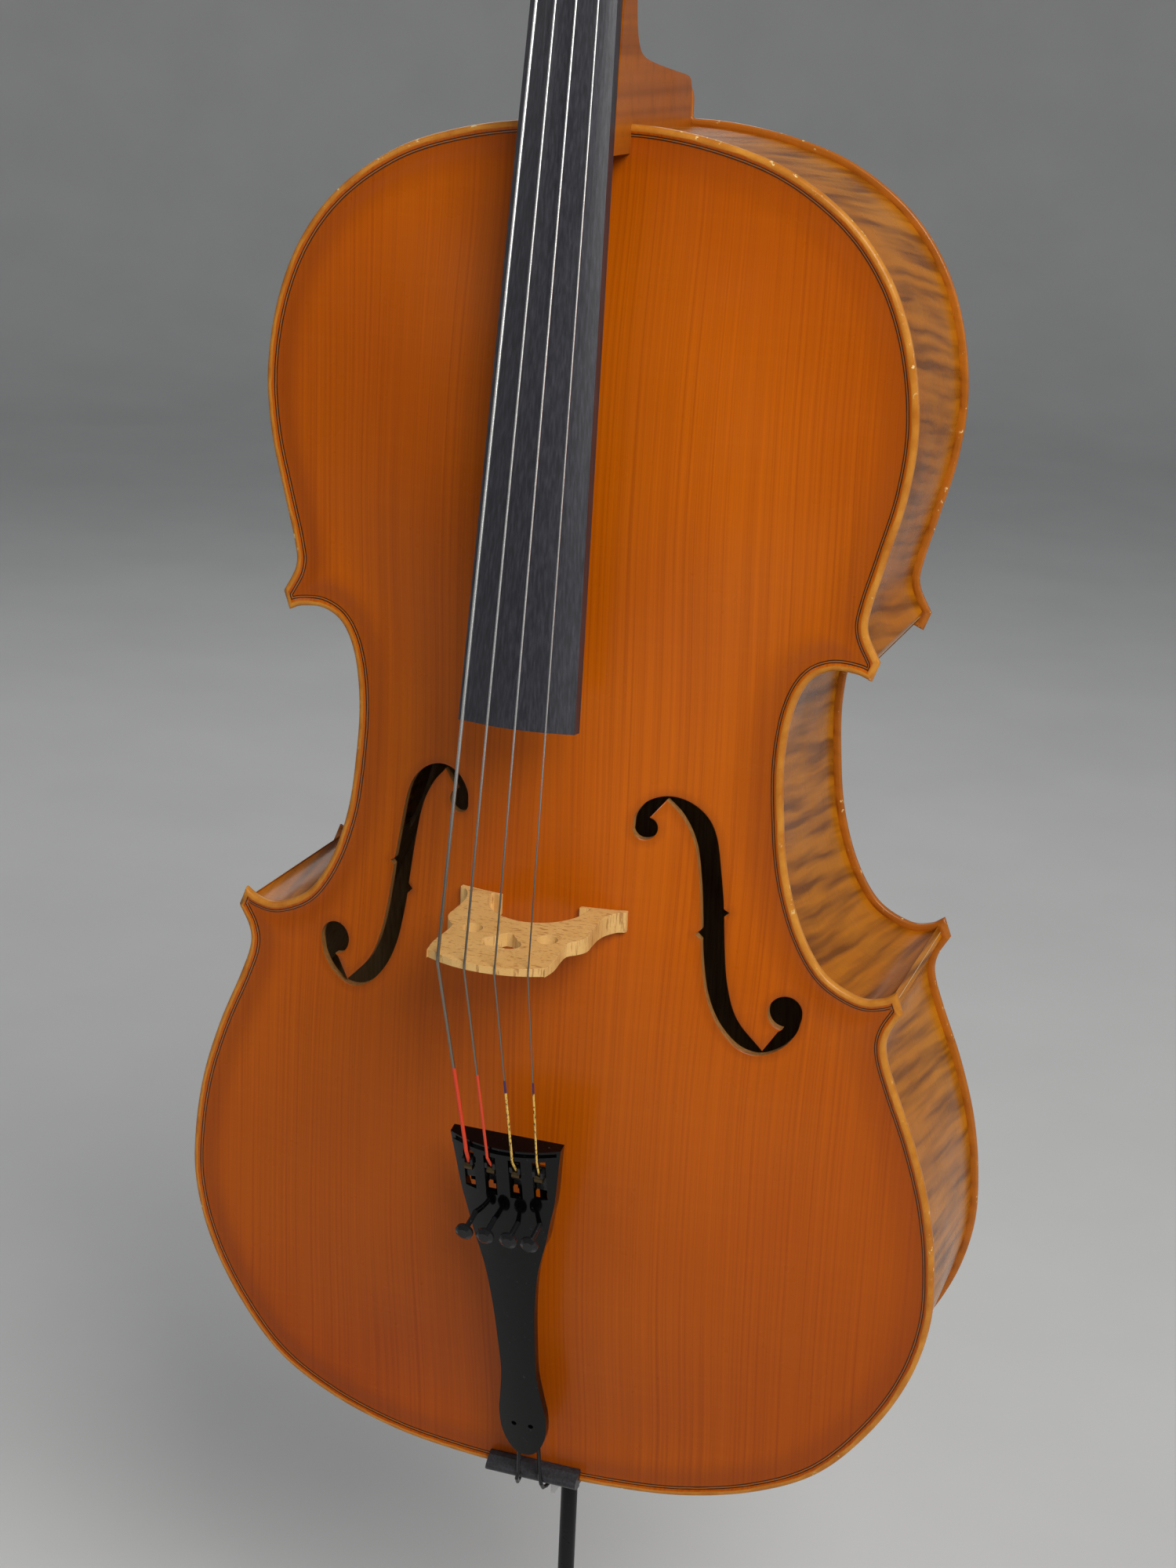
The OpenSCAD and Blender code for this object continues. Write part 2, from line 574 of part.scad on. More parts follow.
/* ---- bridge ---- */
function foot_y(x) = -face - belly(abs(x), zbr, top_rise) - 0.06;
module bridge_plan() {
    r = spline([[46.4, foot_y(46.4)], [46.4, foot_y(46.4) - 3.6], [42.6, -91.5], [38.8, -98.5], [37.4, -107],
        [37.8, -117], [38.2, -126], [35.4, -132.5], [31.3, -138], [31.6, -149], [32.6, -160], [31.5, -170.6]], 3);
    top = [for (i = [0:8]) let (x = 31.5 - 63 * i / 8) [x, crown_y(x)]];
    l = [for (i = [len(r) - 1:-1:0]) [-r[i][0], r[i][1]]];
    arch = spline([[-22, foot_y(22)], [-22.2, foot_y(22.2) - 3.4], [-27.4, -91.5], [-27, -99], [-22.6, -108.5],
        [-13.5, -116.8], [0, -120.5], [13.5, -116.8], [22.6, -108.5], [27, -99], [27.4, -91.5],
        [22.2, foot_y(22.2) - 3.4], [22, foot_y(22)]], 4);
    fl = [for (i = [1:5]) let (x = -46.4 + 4 * i) [x, foot_y(x)]];
    fr = [for (i = [0:4]) let (x = 26.4 + 4 * i) [x, foot_y(x)]];
    difference() {
        polygon(concat(r, top, l, fl, arch, fr));
        for (k = [-1, 1]) translate([20.5 * k, -137]) circle(5.4);
        for (k = [-1, 1]) translate([5 * k, -149]) circle(5.5);
        polygon([[-9.6, -147], [9.6, -147], [1.5, -136.5], [-1.5, -136.5]]);
    }
}
module bridge() {
    color("#e3c48c") body() difference() {
        translate([0, 0, zbr - 6]) linear_extrude(11) bridge_plan();
        translate([-60, foot_y(0) - 4, zbr + 5]) rotate([3.9, 0, 0]) translate([0, -120, 0]) cube([120, 120, 20]);
        translate([-60, foot_y(0) - 4, zbr - 6]) rotate([-1.1, 0, 0]) translate([0, -120, -20]) cube([120, 120, 20]);
    }
}

/* ---- tailpiece and fine tuners ---- */
tail_edge = spline([[31, 0], [29.4, -12], [27.9, -24.5], [26.1, -37], [23.6, -48], [20.8, -62], [17.4, -75],
    [14.6, -89], [12.2, -112], [10.9, -138], [10.4, -160], [12.4, -179], [14, -193], [12.6, -208], [7, -219],
    [0, -222]], 3, undef, [-7, -219]);
module tail_plan(d) {
    polygon(concat([for (p = tail_edge) [max(0, p[0] - d), p[1]]],
        [for (i = [len(tail_edge) - 2:-1:0]) [-max(0, tail_edge[i][0] - d), tail_edge[i][1]]]));
}
module tailpiece() {
    color("#101012") body() on_tail() difference() {
        union() {
            intersection() {
                rotate([90, 0, 0]) translate([0, 0, -13]) linear_extrude(20) tail_plan(0);
                translate([0, 70, -235]) cylinder(r = 70, h = 240, $fn = 120);
                union() {
                    translate([-40, -20, -66]) cube([80, 33, 70]);
                    translate([-40, -20, -235]) cube([80, 26, 235]);
                }
            }
            intersection() {
                translate([-29.8, -4, -5.4]) cube([59.6, 9, 2.8]);
                translate([0, 68.5, -6]) cylinder(r = 70, h = 6, $fn = 120);
            }
        }
        /* hollow under the shell for the lever arms */
        rotate([90, 0, 0]) translate([0, 0, -14]) intersection() {
            linear_extrude(10) tail_plan(1.6);
            translate([-40, -63, 0]) cube([80, 34.8, 9]);
        }
        /* lever slots */
        for (x = slot_x) translate([x - 3.4, -10, -32]) cube([6.8, 30, 25.5]);
        for (i = [0:3]) {
            translate([screw_x[i], 0, -screw_s]) rotate([90, 0, 0]) cylinder(r = 1.56, h = 60, center = true);
            translate([slot_x[i] - 5, -pivot_n, -pivot_s]) rotate([0, 90, 0]) cylinder(r = 1.01, h = 10);
        }
        for (k = [-1, 1]) translate([5 * k, 0, -199]) rotate([90, 0, 0]) cylinder(r = 1.5, h = 60, center = true);
    }
}
module on_pivot(i) { body() on_tail() translate([slot_x[i], 0, 0]) children(); }
module lever(i) {
    color("#141416") on_pivot(i) difference() {
        union() {
            translate([-3, 0, 0]) rotate([90, 0, 90]) linear_extrude(6)
                polygon([[0.4, -11.5], [0.4, -15], [5.2, -15], [5.2, -21], [5.6, -27], [10.2, -30.5], [10.2, -33.5],
                    [12.4, -33.5], [12.2, -20], [9, -13], [6, -11.5]]);
            translate([min(0, screw_x[i] - slot_x[i]) - 2, 10.2, -33.5])
                cube([4 + abs(screw_x[i] - slot_x[i]), 2.2, 4]);
            translate([screw_x[i] - slot_x[i] - 2, 10.2, -53]) cube([4, 2.2, 23]);
        }
        translate([-1.5, -2, -15.1]) cube([3, 7, 4]);
        translate([-5, -pivot_n, -pivot_s]) rotate([0, 90, 0]) cylinder(r = 1.05, h = 10);
    }
}
module lever_c() { lever(0); }
module lever_g() { lever(1); }
module lever_d() { lever(2); }
module lever_a() { lever(3); }
module ball(i) {
    color("#b08d3e") on_pivot(i) translate([0, 2.9, -17.3]) rotate([0, 90, 0])
        cylinder(r = 2.2, h = 4.4, center = true);
}
module ball_c() { ball(0); }
module ball_g() { ball(1); }
module ball_d() { ball(2); }
module ball_a() { ball(3); }
module screw(i) {
    color("#202022") body() on_tail() translate([screw_x[i], 9.8, -screw_s]) rotate([90, 0, 0])
        cylinder(r = 1.5, h = 24);
}
module screw_c() { screw(0); }
module screw_g() { screw(1); }
module screw_d() { screw(2); }
module screw_a() { screw(3); }
module knob(i) {
    color("#161618") body() on_tail() translate([screw_x[i], -11.2, -screw_s]) rotate([90, 0, 0]) difference() {
        union() {
            cylinder(r1 = 2.3, r2 = 4.9, h = 1.8);
            translate([0, 0, 1.79]) cylinder(r = 4.9, h = 1.5);
            translate([0, 0, 3.28]) cylinder(r1 = 4.9, r2 = 2.8, h = 1.5);
        }
        translate([0, 0, -1]) cylinder(r = 1.56, h = 4.4);
    }
}
module knob_c() { knob(0); }
module knob_g() { knob(1); }
module knob_d() { knob(2); }
module knob_a() { knob(3); }
module tuner_pins() {
    color("#9a9a9e") for (i = [0:3]) on_pivot(i) translate([-4.9, -pivot_n, -pivot_s]) rotate([0, 90, 0])
        cylinder(r = 1, h = 9.8);
}

/* ---- tailgut, saddle and endpin ---- */
saddle_h = 8;
module saddle() {
    color("#141414") body() translate([-27.5, 0, 0]) rotate([90, 0, 90]) linear_extrude(55)
        polygon(concat([[-half - e, -0.5], [-half - e, 8.5], [-face - 0.5, 8.5]],
            spline([[-face - 3, 7.5], [-face - saddle_h, 3], [-face - saddle_h, 0.5], [-face - 4.5, -2]], 4),
            [[-face, -2], [-face, -0.5]]));
}
gut_d = 2.4;
module tailgut() {
    r = 14.3;
    leg = [tail_pt(5, -3, 199), tail_pt(5, -8.6, 199.2), tail_pt(5.2, -9.9, 201.5), [6.5, -face - saddle_h - 1.5, 4.5],
        [7.5, -face - saddle_h - 1.45, 0], [7.8, -face - saddle_h + 1, -3.6], [8.5, -face - 3, -4.6],
        [r, -3, -4]];
    turn = [for (a = [0:12:180]) [r * cos(a), r * sin(a), -4]];
    p = concat(leg, turn, [for (i = [len(leg) - 1:-1:0]) [-leg[i][0], leg[i][1], leg[i][2]]]);
    color("#20242c") body() tube(p, [for (q = p) gut_d]);
}
module endpin_socket() {
    color("#141414") body() difference() {
        union() {
            cylinder(r1 = 12.53, r2 = 10.03, h = 50);
            translate([0, 0, -7]) cylinder(r = 12.6, h = 7);
            translate([0, 0, -12]) cylinder(r1 = 14, r2 = 16, h = 2.5);
            translate([0, 0, -9.5]) cylinder(r1 = 16, r2 = 15, h = 2.5);
        }
        translate([0, 0, -20]) cylinder(r = rod_d / 2 + 0.08, h = 80);
    }
}
module endpin_collar() {
    color("#3a3a3e") body() difference() {
        union() {
            translate([0, 0, -34]) cylinder(r1 = 9.5, r2 = 10.5, h = 2);
            translate([0, 0, -32]) cylinder(r = 10.5, h = 18);
            translate([0, 0, -14]) cylinder(r = 13, h = 1.99);
            translate([0, -9, -24]) rotate([90, 0, 0]) cylinder(r = 5.5, h = 5);
        }
        translate([0, 0, -40]) cylinder(r = rod_d / 2 + 0.06, h = 60);
        translate([0, 0, -24]) rotate([90, 0, 0]) cylinder(r = 2.56, h = 30);
    }
}
module endpin_screw() {
    color("#8a8a8e") body() translate([0, -rod_d / 2 - 0.45, -24]) rotate([90, 0, 0]) cylinder(r = 2.5, h = 14);
}
module endpin_wing() {
    color("#8a8a8e") body() translate([0, -rod_d / 2 - 9.6, -24]) rotate([90, 0, 0]) difference() {
        union() {
            cylinder(r = 6, h = 6);
            translate([-1.25, -10, 5.9]) cube([2.5, 20, 11]);
        }
        translate([0, 0, -1]) cylinder(r = 2.56, h = 6.3);
    }
}
module endpin_rod() { color("#1a1a1c") translate([0, 0, 8]) cylinder(d = rod_d, h = rod_l); }
module endpin_tip() {
    color("#202020") difference() {
        union() {
            cylinder(r1 = 6, r2 = 10.5, h = 5);
            translate([0, 0, 5]) cylinder(r1 = 10.5, r2 = 8, h = 23);
        }
        translate([0, 0, 7.98]) cylinder(d = rod_d + 0.02, h = 40);
    }
}

top_plate();
back_plate();
top_purfling();
back_purfling();
rib_upper_bass();
rib_upper_treble();
rib_waist_bass();
rib_waist_treble();
rib_lower_bass();
rib_lower_treble();
top_linings();
back_linings();
neck_block();
end_block();
corner_blocks();
bass_bar();
sound_post();
neck_scroll();
fingerboard();
nut();
peg_c();
peg_g();
peg_d();
peg_a();
coil_c();
coil_g();
coil_d();
coil_a();
string_c();
string_g();
string_dd();  // string_d
string_a();
bridge();
tailpiece();
lever_c();
lever_g();
lever_d();
lever_a();
screw_c();
screw_g();
screw_d();
screw_a();
knob_c();
knob_g();
knob_d();
knob_a();
ball_c();
ball_g();
ball_d();
ball_a();
tuner_pins();
tailgut();
saddle();
endpin_socket();
endpin_collar();
endpin_rod();
endpin_screw();
endpin_wing();
endpin_tip();
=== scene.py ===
import math
import bpy
import numpy as np
from mathutils import Matrix, Vector
from mathutils.geometry import delaunay_2d_cdt


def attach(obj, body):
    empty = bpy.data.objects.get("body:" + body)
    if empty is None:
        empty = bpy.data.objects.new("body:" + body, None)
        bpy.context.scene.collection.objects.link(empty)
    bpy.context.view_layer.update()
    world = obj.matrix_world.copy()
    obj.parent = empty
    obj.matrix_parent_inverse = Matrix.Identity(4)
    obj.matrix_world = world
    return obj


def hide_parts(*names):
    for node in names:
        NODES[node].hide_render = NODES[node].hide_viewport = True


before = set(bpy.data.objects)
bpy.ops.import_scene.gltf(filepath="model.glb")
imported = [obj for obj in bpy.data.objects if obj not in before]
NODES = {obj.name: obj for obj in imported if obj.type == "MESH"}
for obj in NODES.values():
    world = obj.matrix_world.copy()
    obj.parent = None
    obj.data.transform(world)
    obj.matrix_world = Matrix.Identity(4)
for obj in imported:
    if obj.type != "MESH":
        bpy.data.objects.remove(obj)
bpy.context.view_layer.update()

# sizes of the body, mm, as the CAD frame has them
ZB = 330.0                      # bottom edge of the body above the floor
FACE, HALF = 65.0, 60.0         # outer face and gluing plane of each plate, out from the middle
TOP_RISE, TOP_RISE_IN = 26, 26.4
BACK_RISE, BACK_RISE_IN = 27, 26.6
ARCH_Z0, ARCH_LEN = 11, 733     # lower end and length of the arching
OVERHANG, RIB_T = 4, 2          # plate edge beyond the ribs, rib thickness
INLAY_IN, INLAY_HALF = 5.2, 0.8     # middle of the purfling in from the edge, half its width
INLAY_TOP, INLAY_CROWN, INLAY_UNDER = 0.16, 0.18, -0.5   # its height over the plate: sides, middle, underside
EXTEND = 22                     # how far outline curves are lengthened so that their offsets cross


def cos(degrees):
    return math.cos(math.radians(degrees))


def sin(degrees):
    return math.sin(math.radians(degrees))


# ---------------------------------------------------------------- mesh helpers (mm, body frame)
def make(name, verts, faces, body, mats, replaces, sharp, face_mat=None, attrs=None):
    """a smooth-shaded piece that rides on a body and stands for CAD nodes"""
    me = bpy.data.meshes.new(name)
    v = np.asarray(verts, float).copy()
    v[:, 2] += ZB
    v *= 0.001
    me.from_pydata([tuple(p) for p in v], [], [tuple(int(i) for i in f) for f in faces])
    me.validate()
    me.polygons.foreach_set("use_smooth", [True] * len(me.polygons))
    for m in mats if isinstance(mats, (list, tuple)) else [mats]:
        me.materials.append(m)
    if face_mat is not None and len(face_mat) == len(me.polygons):
        me.polygons.foreach_set("material_index", [int(i) for i in face_mat])
    for key, val in (attrs or {}).items():
        val = np.asarray(val, np.float32)
        kind = "FLOAT_VECTOR" if val.ndim == 2 else "FLOAT"
        a = me.attributes.new(key, kind, "POINT")
        a.data.foreach_set("vector" if kind == "FLOAT_VECTOR" else "value", val.ravel())
    me.set_sharp_from_angle(angle=math.radians(sharp))
    me.update()
    o = bpy.data.objects.new(name, me)
    bpy.context.scene.collection.objects.link(o)
    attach(o, body)
    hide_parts(*replaces)
    return o


def bevel(o, width, segs, angle):
    m = o.modifiers.new("edge", "BEVEL")
    m.width, m.segments, m.limit_method = width * 0.001, segs, "ANGLE"
    m.angle_limit = math.radians(angle)
    m.harden_normals = False


def loft(secs, ring=False):
    """closed sections with equal point counts -> verts, faces; a ring has no end caps"""
    secs = [np.asarray(s, float) for s in secs]
    m, n = len(secs[0]), len(secs)
    v = np.concatenate(secs)
    f = []
    for i in range(n if ring else n - 1):
        k = (i + 1) % n
        for a in range(m):
            b = (a + 1) % m
            f.append((i * m + a, i * m + b, k * m + b, k * m + a))
    if not ring:
        f.append(tuple(range(m - 1, -1, -1)))
        f.append(tuple((n - 1) * m + j for j in range(m)))
    return v, f


def cr_spline(p, n, a=None, z=None):
    """Catmull-Rom curve through p, n points a span; a and z are the points before and after it"""
    p = [np.array(q, float) for q in p]
    before = 2 * p[0] - p[1] if a is None else np.array(a, float)
    after = 2 * p[-1] - p[-2] if z is None else np.array(z, float)
    q = [before] + p + [after]
    out = []
    for i in range(1, len(p)):
        b0, b1, b2, b3 = q[i - 1:i + 3]
        for k in range(n):
            t = k / n
            out.append(0.5 * (2 * b1 + (b2 - b0) * t + (2 * b0 - 5 * b1 + 4 * b2 - b3) * t * t
                              + (3 * b1 - b0 - 3 * b2 + b3) * t ** 3))
    out.append(p[-1])
    return np.array(out)


def smooth01(a, b, x):
    """0 before a, 1 after b, smooth between"""
    t = np.clip((x - a) / (b - a), 0, 1)
    return t * t * (3 - 2 * t)


# ---------------------------------------------------------------- outline and arching
# half outline in three curves from the top centre, and the line where the arching starts, [x, z]
UPPER = [[0, 755], [36, 754.1], [72, 747.8], [104, 736.5], [134, 716], [155, 690], [168, 658.5], [173.9, 622],
         [171.6, 588], [164, 555.5], [157.6, 530], [156.8, 517], [164.1, 502.4]]
WAIST = [[160.6, 492.5], [152.5, 495.4], [139.6, 495.3], [128.7, 488.1], [121.6, 471.5], [118.6, 446],
         [119.9, 418], [124.3, 385], [134, 355.2], [148, 333.6], [166, 324], [178.5, 324.9], [186.4, 329.7]]
LOWER = [[190.7, 318.8], [184.4, 306.5], [183.7, 295], [190, 276.5], [203, 245], [213.5, 211], [219, 176],
         [219.2, 143], [210.5, 108], [192, 72.5], [165, 40.2], [130, 19.6], [88, 6.6], [44, 1.2], [0, 0]]
FLUTE = [[0, 744], [58, 739], [108, 719], [141, 685], [157, 646], [161, 607], [152, 565], [135, 530],
         [117, 495], [108.5, 462], [107, 430], [111, 395], [124, 360], [146, 325], [171, 290],
         [191, 255], [203.5, 215], [207.5, 170], [203, 130], [188, 90], [160, 54], [118, 27], [60, 14.5],
         [0, 11]]
up = cr_spline(UPPER, 12, [-36, 754.1])
wa = cr_spline(WAIST, 12)
lo = cr_spline(LOWER, 12, None, [-44, 1.2])
flute = cr_spline(FLUTE, 8, [-58, 739], [-60, 14.5])
FLUTE_Z, FLUTE_X = flute[::-1, 1], flute[::-1, 0]


def mirror_loop(h):
    """half outline from top centre to bottom centre -> closed loop"""
    return np.concatenate([h, (h * [-1, 1])[-2:0:-1]])


def inset(c, d):
    """the curve moved d towards the inside of the body"""
    t = np.gradient(c, axis=0)
    t /= np.linalg.norm(t, axis=1)[:, None]
    return c + d * np.stack([t[:, 1], -t[:, 0]], 1)


def longer(c, a, b):
    """the curve with straight ends, a before it and b after it"""
    out = [c]
    if a:
        t = (c[1] - c[0]) / np.linalg.norm(c[1] - c[0])
        out.insert(0, (c[0] - a * t)[None])
    if b:
        t = (c[-1] - c[-2]) / np.linalg.norm(c[-1] - c[-2])
        out.append((c[-1] + b * t)[None])
    return np.concatenate(out)


def meet(a, b):
    """where curve a first crosses curve b: segment of a, segment of b, point"""
    for i in range(len(a) - 1):
        p, r = a[i], a[i + 1] - a[i]
        q, s = b[:-1], b[1:] - b[:-1]
        k = r[0] * s[:, 1] - r[1] * s[:, 0]
        k[k == 0] = 1e-12
        d = q - p
        t = (d[:, 0] * s[:, 1] - d[:, 1] * s[:, 0]) / k
        u = (d[:, 0] * r[1] - d[:, 1] * r[0]) / k
        ok = np.where((t >= 0) & (t <= 1) & (u >= 0) & (u <= 1))[0]
        if len(ok):
            return i, int(ok[0]), p + t[ok[0]] * r
    return None


def joined(a, b):
    i, j, p = meet(a, b)
    return np.concatenate([a[:i + 1], [p], b[j + 1:]])


def offsets(d):
    """the three outline curves d inside the edge, long enough to cross at the corners"""
    return (longer(inset(up, d), 0, EXTEND), longer(inset(wa, d), EXTEND, EXTEND),
            longer(inset(lo, d), EXTEND, 0))


def half_ring(d):
    """half outline d inside the edge"""
    a, b, c = offsets(d)
    return joined(joined(a, b), c)


def long_arch(z):
    v = np.minimum(1, np.abs(2 * (z - ARCH_Z0) / ARCH_LEN - 1))
    return (1 + np.cos(np.pi * v ** 2.7)) / 2


def belly(x, z, rise):
    """height of the arching over the plate's edge"""
    w = np.maximum(1, np.interp(z, FLUTE_Z, FLUTE_X))
    t = np.minimum(1, np.abs(x) / w)
    return rise * long_arch(z) * (1 + np.cos(np.pi * t ** 1.2)) / 2


def edge_h(d):
    """edge bead and the channel inside it"""
    r = 2.3
    k = np.clip(r - d, 0, r)
    round_over = -(r - np.sqrt(np.maximum(0, r * r - k * k)))
    return round_over - 1.1 * smooth01(2.4, 6.0, d) * (1 - smooth01(7.0, 17, d))


def inside(pts, loop):
    """which points lie inside a closed polyline"""
    x, y = pts[:, 0], pts[:, 1]
    a, b = loop, np.roll(loop, -1, axis=0)
    res = np.zeros(len(pts), bool)
    for (x0, y0), (x1, y1) in zip(a, b):
        if y0 == y1:
            continue
        c = ((y0 > y) != (y1 > y)) & (x < (x1 - x0) * (y - y0) / (y1 - y0) + x0)
        res ^= c
    return res


def dist(pts, loop):
    """distance to a closed polyline"""
    a, b = loop, np.roll(loop, -1, axis=0)
    out = np.full(len(pts), 1e9)
    ab = b - a
    l2 = np.maximum(1e-12, (ab ** 2).sum(1))
    chunk = 4000
    for s in range(0, len(pts), chunk):
        p = pts[s:s + chunk]
        ap = p[:, None] - a[None]
        t = np.clip((ap * ab[None]).sum(2) / l2, 0, 1)
        d = ap - t[..., None] * ab[None]
        out[s:s + chunk] = np.sqrt((d ** 2).sum(2).min(1))
    return out


# sound hole, treble side: its outer and inner edges
HOLE_OUT = [[45.8, 404], [46.8, 412], [53, 419.8], [62.7, 422.4], [73, 419.4], [82, 411.6], [87.2, 400.5],
            [90.6, 382], [93.4, 363], [95.6, 342], [99, 321.5], [105.5, 304.3], [119.5, 288.6]]
HOLE_IN = [[138.3, 308], [135.8, 299], [128.6, 290.4], [118, 286], [106.5, 289.2], [95.5, 300.8], [88.3, 316.8],
           [84.2, 338], [82.4, 357], [80.3, 376], [76.6, 396], [70, 410.4], [61.6, 420.4]]


def arc(c, r, a, b, n):
    return np.array([[c[0] + r * cos(k), c[1] + r * sin(k)] for k in np.linspace(a, b, n)])


def nick(c, at, tip):
    """cuts a notch with the given tip into a curve, at a height"""
    reach = 1.9
    keep = c[np.abs(c[:, 1] - at) > reach]
    i = int(np.argmin(np.abs(c[:, 1] - at)))
    before = int((np.abs(c[:i, 1] - at) > reach).sum())
    return np.concatenate([keep[:before], [tip], keep[before:]])


def sound_hole():
    out = nick(cr_spline(HOLE_OUT, 10), 361, [96.2, 361])
    inn = nick(cr_spline(HOLE_IN, 10), 349, [80.2, 349])
    lower_eye = arc((129.3, 310), 9, 265.6, -12, 36)[:-1]
    upper_eye = arc((51.9, 404.8), 6.2, 73, -171, 30)
    return np.concatenate([out, [[126.5, 299.5]], lower_eye, inn, [[54.6, 411.5]], upper_eye])


HOLE = sound_hole()


# ---------------------------------------------------------------- materials
class Mat:
    """a Principled material with short-hand node calls"""

    def __init__(self, name, **base):
        self.m = bpy.data.materials.new(name)
        self.m.use_nodes = True
        self.t = self.m.node_tree
        self.b = next(n for n in self.t.nodes if n.type == "BSDF_PRINCIPLED")
        for k, v in base.items():
            self.set(k.replace("_", " "), v)

    def set(self, key, v):
        s = self.b.inputs[key]
        if hasattr(v, "is_output"):
            self.t.links.new(v, s)
        elif isinstance(v, (list, tuple)) and len(v) == 3:
            s.default_value = (*v, 1)
        else:
            s.default_value = v

    def node(self, kind, out=0, props=None, **ins):
        n = self.t.nodes.new(kind)
        for k, v in (props or {}).items():
            setattr(n, k, v)
        for k, v in ins.items():
            key = int(k[1:]) if k[0] == "i" and k[1:].isdigit() else k.replace("_", " ")
            s = n.inputs[key]
            if hasattr(v, "is_output"):
                self.t.links.new(v, s)
            else:
                s.default_value = v
        return n.outputs[out]

    def at(self, scale=(1, 1, 1), rot=(0, 0, 0), loc=(0, 0, 0)):
        src = self.node("ShaderNodeTexCoord", "Object")
        turn = [math.radians(a) for a in rot]
        return self.node("ShaderNodeMapping", Vector=src, Scale=scale, Rotation=turn, Location=loc)

    def attr(self, name, out="Fac"):
        return self.node("ShaderNodeAttribute", out, {"attribute_name": name})

    def noise(self, vec, scale=1.0, detail=3.0, rough=0.55, distort=0.0):
        return self.node("ShaderNodeTexNoise", "Fac", Vector=vec, Scale=scale, Detail=detail,
                         Roughness=rough, Distortion=distort)

    def ramp(self, fac, *stops):
        n = self.t.nodes.new("ShaderNodeValToRGB")
        self.t.links.new(fac, n.inputs[0])
        e = n.color_ramp.elements
        while len(e) < len(stops):
            e.new(0.5)
        for k, (p, c) in zip(e, stops):
            k.position = p
            k.color = (c, c, c, 1) if isinstance(c, (int, float)) else (*c, 1)
        return n.outputs[0]

    def map(self, v, a, b, c=0.0, d=1.0, smooth=False):
        return self.node("ShaderNodeMapRange", 0, {"interpolation_type": "SMOOTHSTEP" if smooth else "LINEAR"},
                         Value=v, From_Min=a, From_Max=b, To_Min=c, To_Max=d)

    def math(self, op, a, b=0.0):
        return self.node("ShaderNodeMath", 0, {"operation": op}, i0=a, i1=b)

    def mix(self, fac, a, b, mode="MIX"):
        n = self.t.nodes.new("ShaderNodeMix")
        n.data_type, n.blend_type = "RGBA", mode
        for key, v in ((0, fac), (6, a), (7, b)):
            if hasattr(v, "is_output"):
                self.t.links.new(v, n.inputs[key])
            else:
                n.inputs[key].default_value = v if key == 0 or len(v) == 4 else (*v, 1)
        return n.outputs[2]

    def bump(self, height, strength=0.2, dist=0.0005, normal=None):
        ins = {"Height": height, "Strength": strength, "Distance": dist}
        if normal is not None:
            ins["Normal"] = normal
        return self.node("ShaderNodeBump", **ins)

    def split(self, vec, axis):
        return self.node("ShaderNodeSeparateXYZ", axis, Vector=vec)

    def join(self, x, y, z):
        return self.node("ShaderNodeCombineXYZ", X=x, Y=y, Z=z)


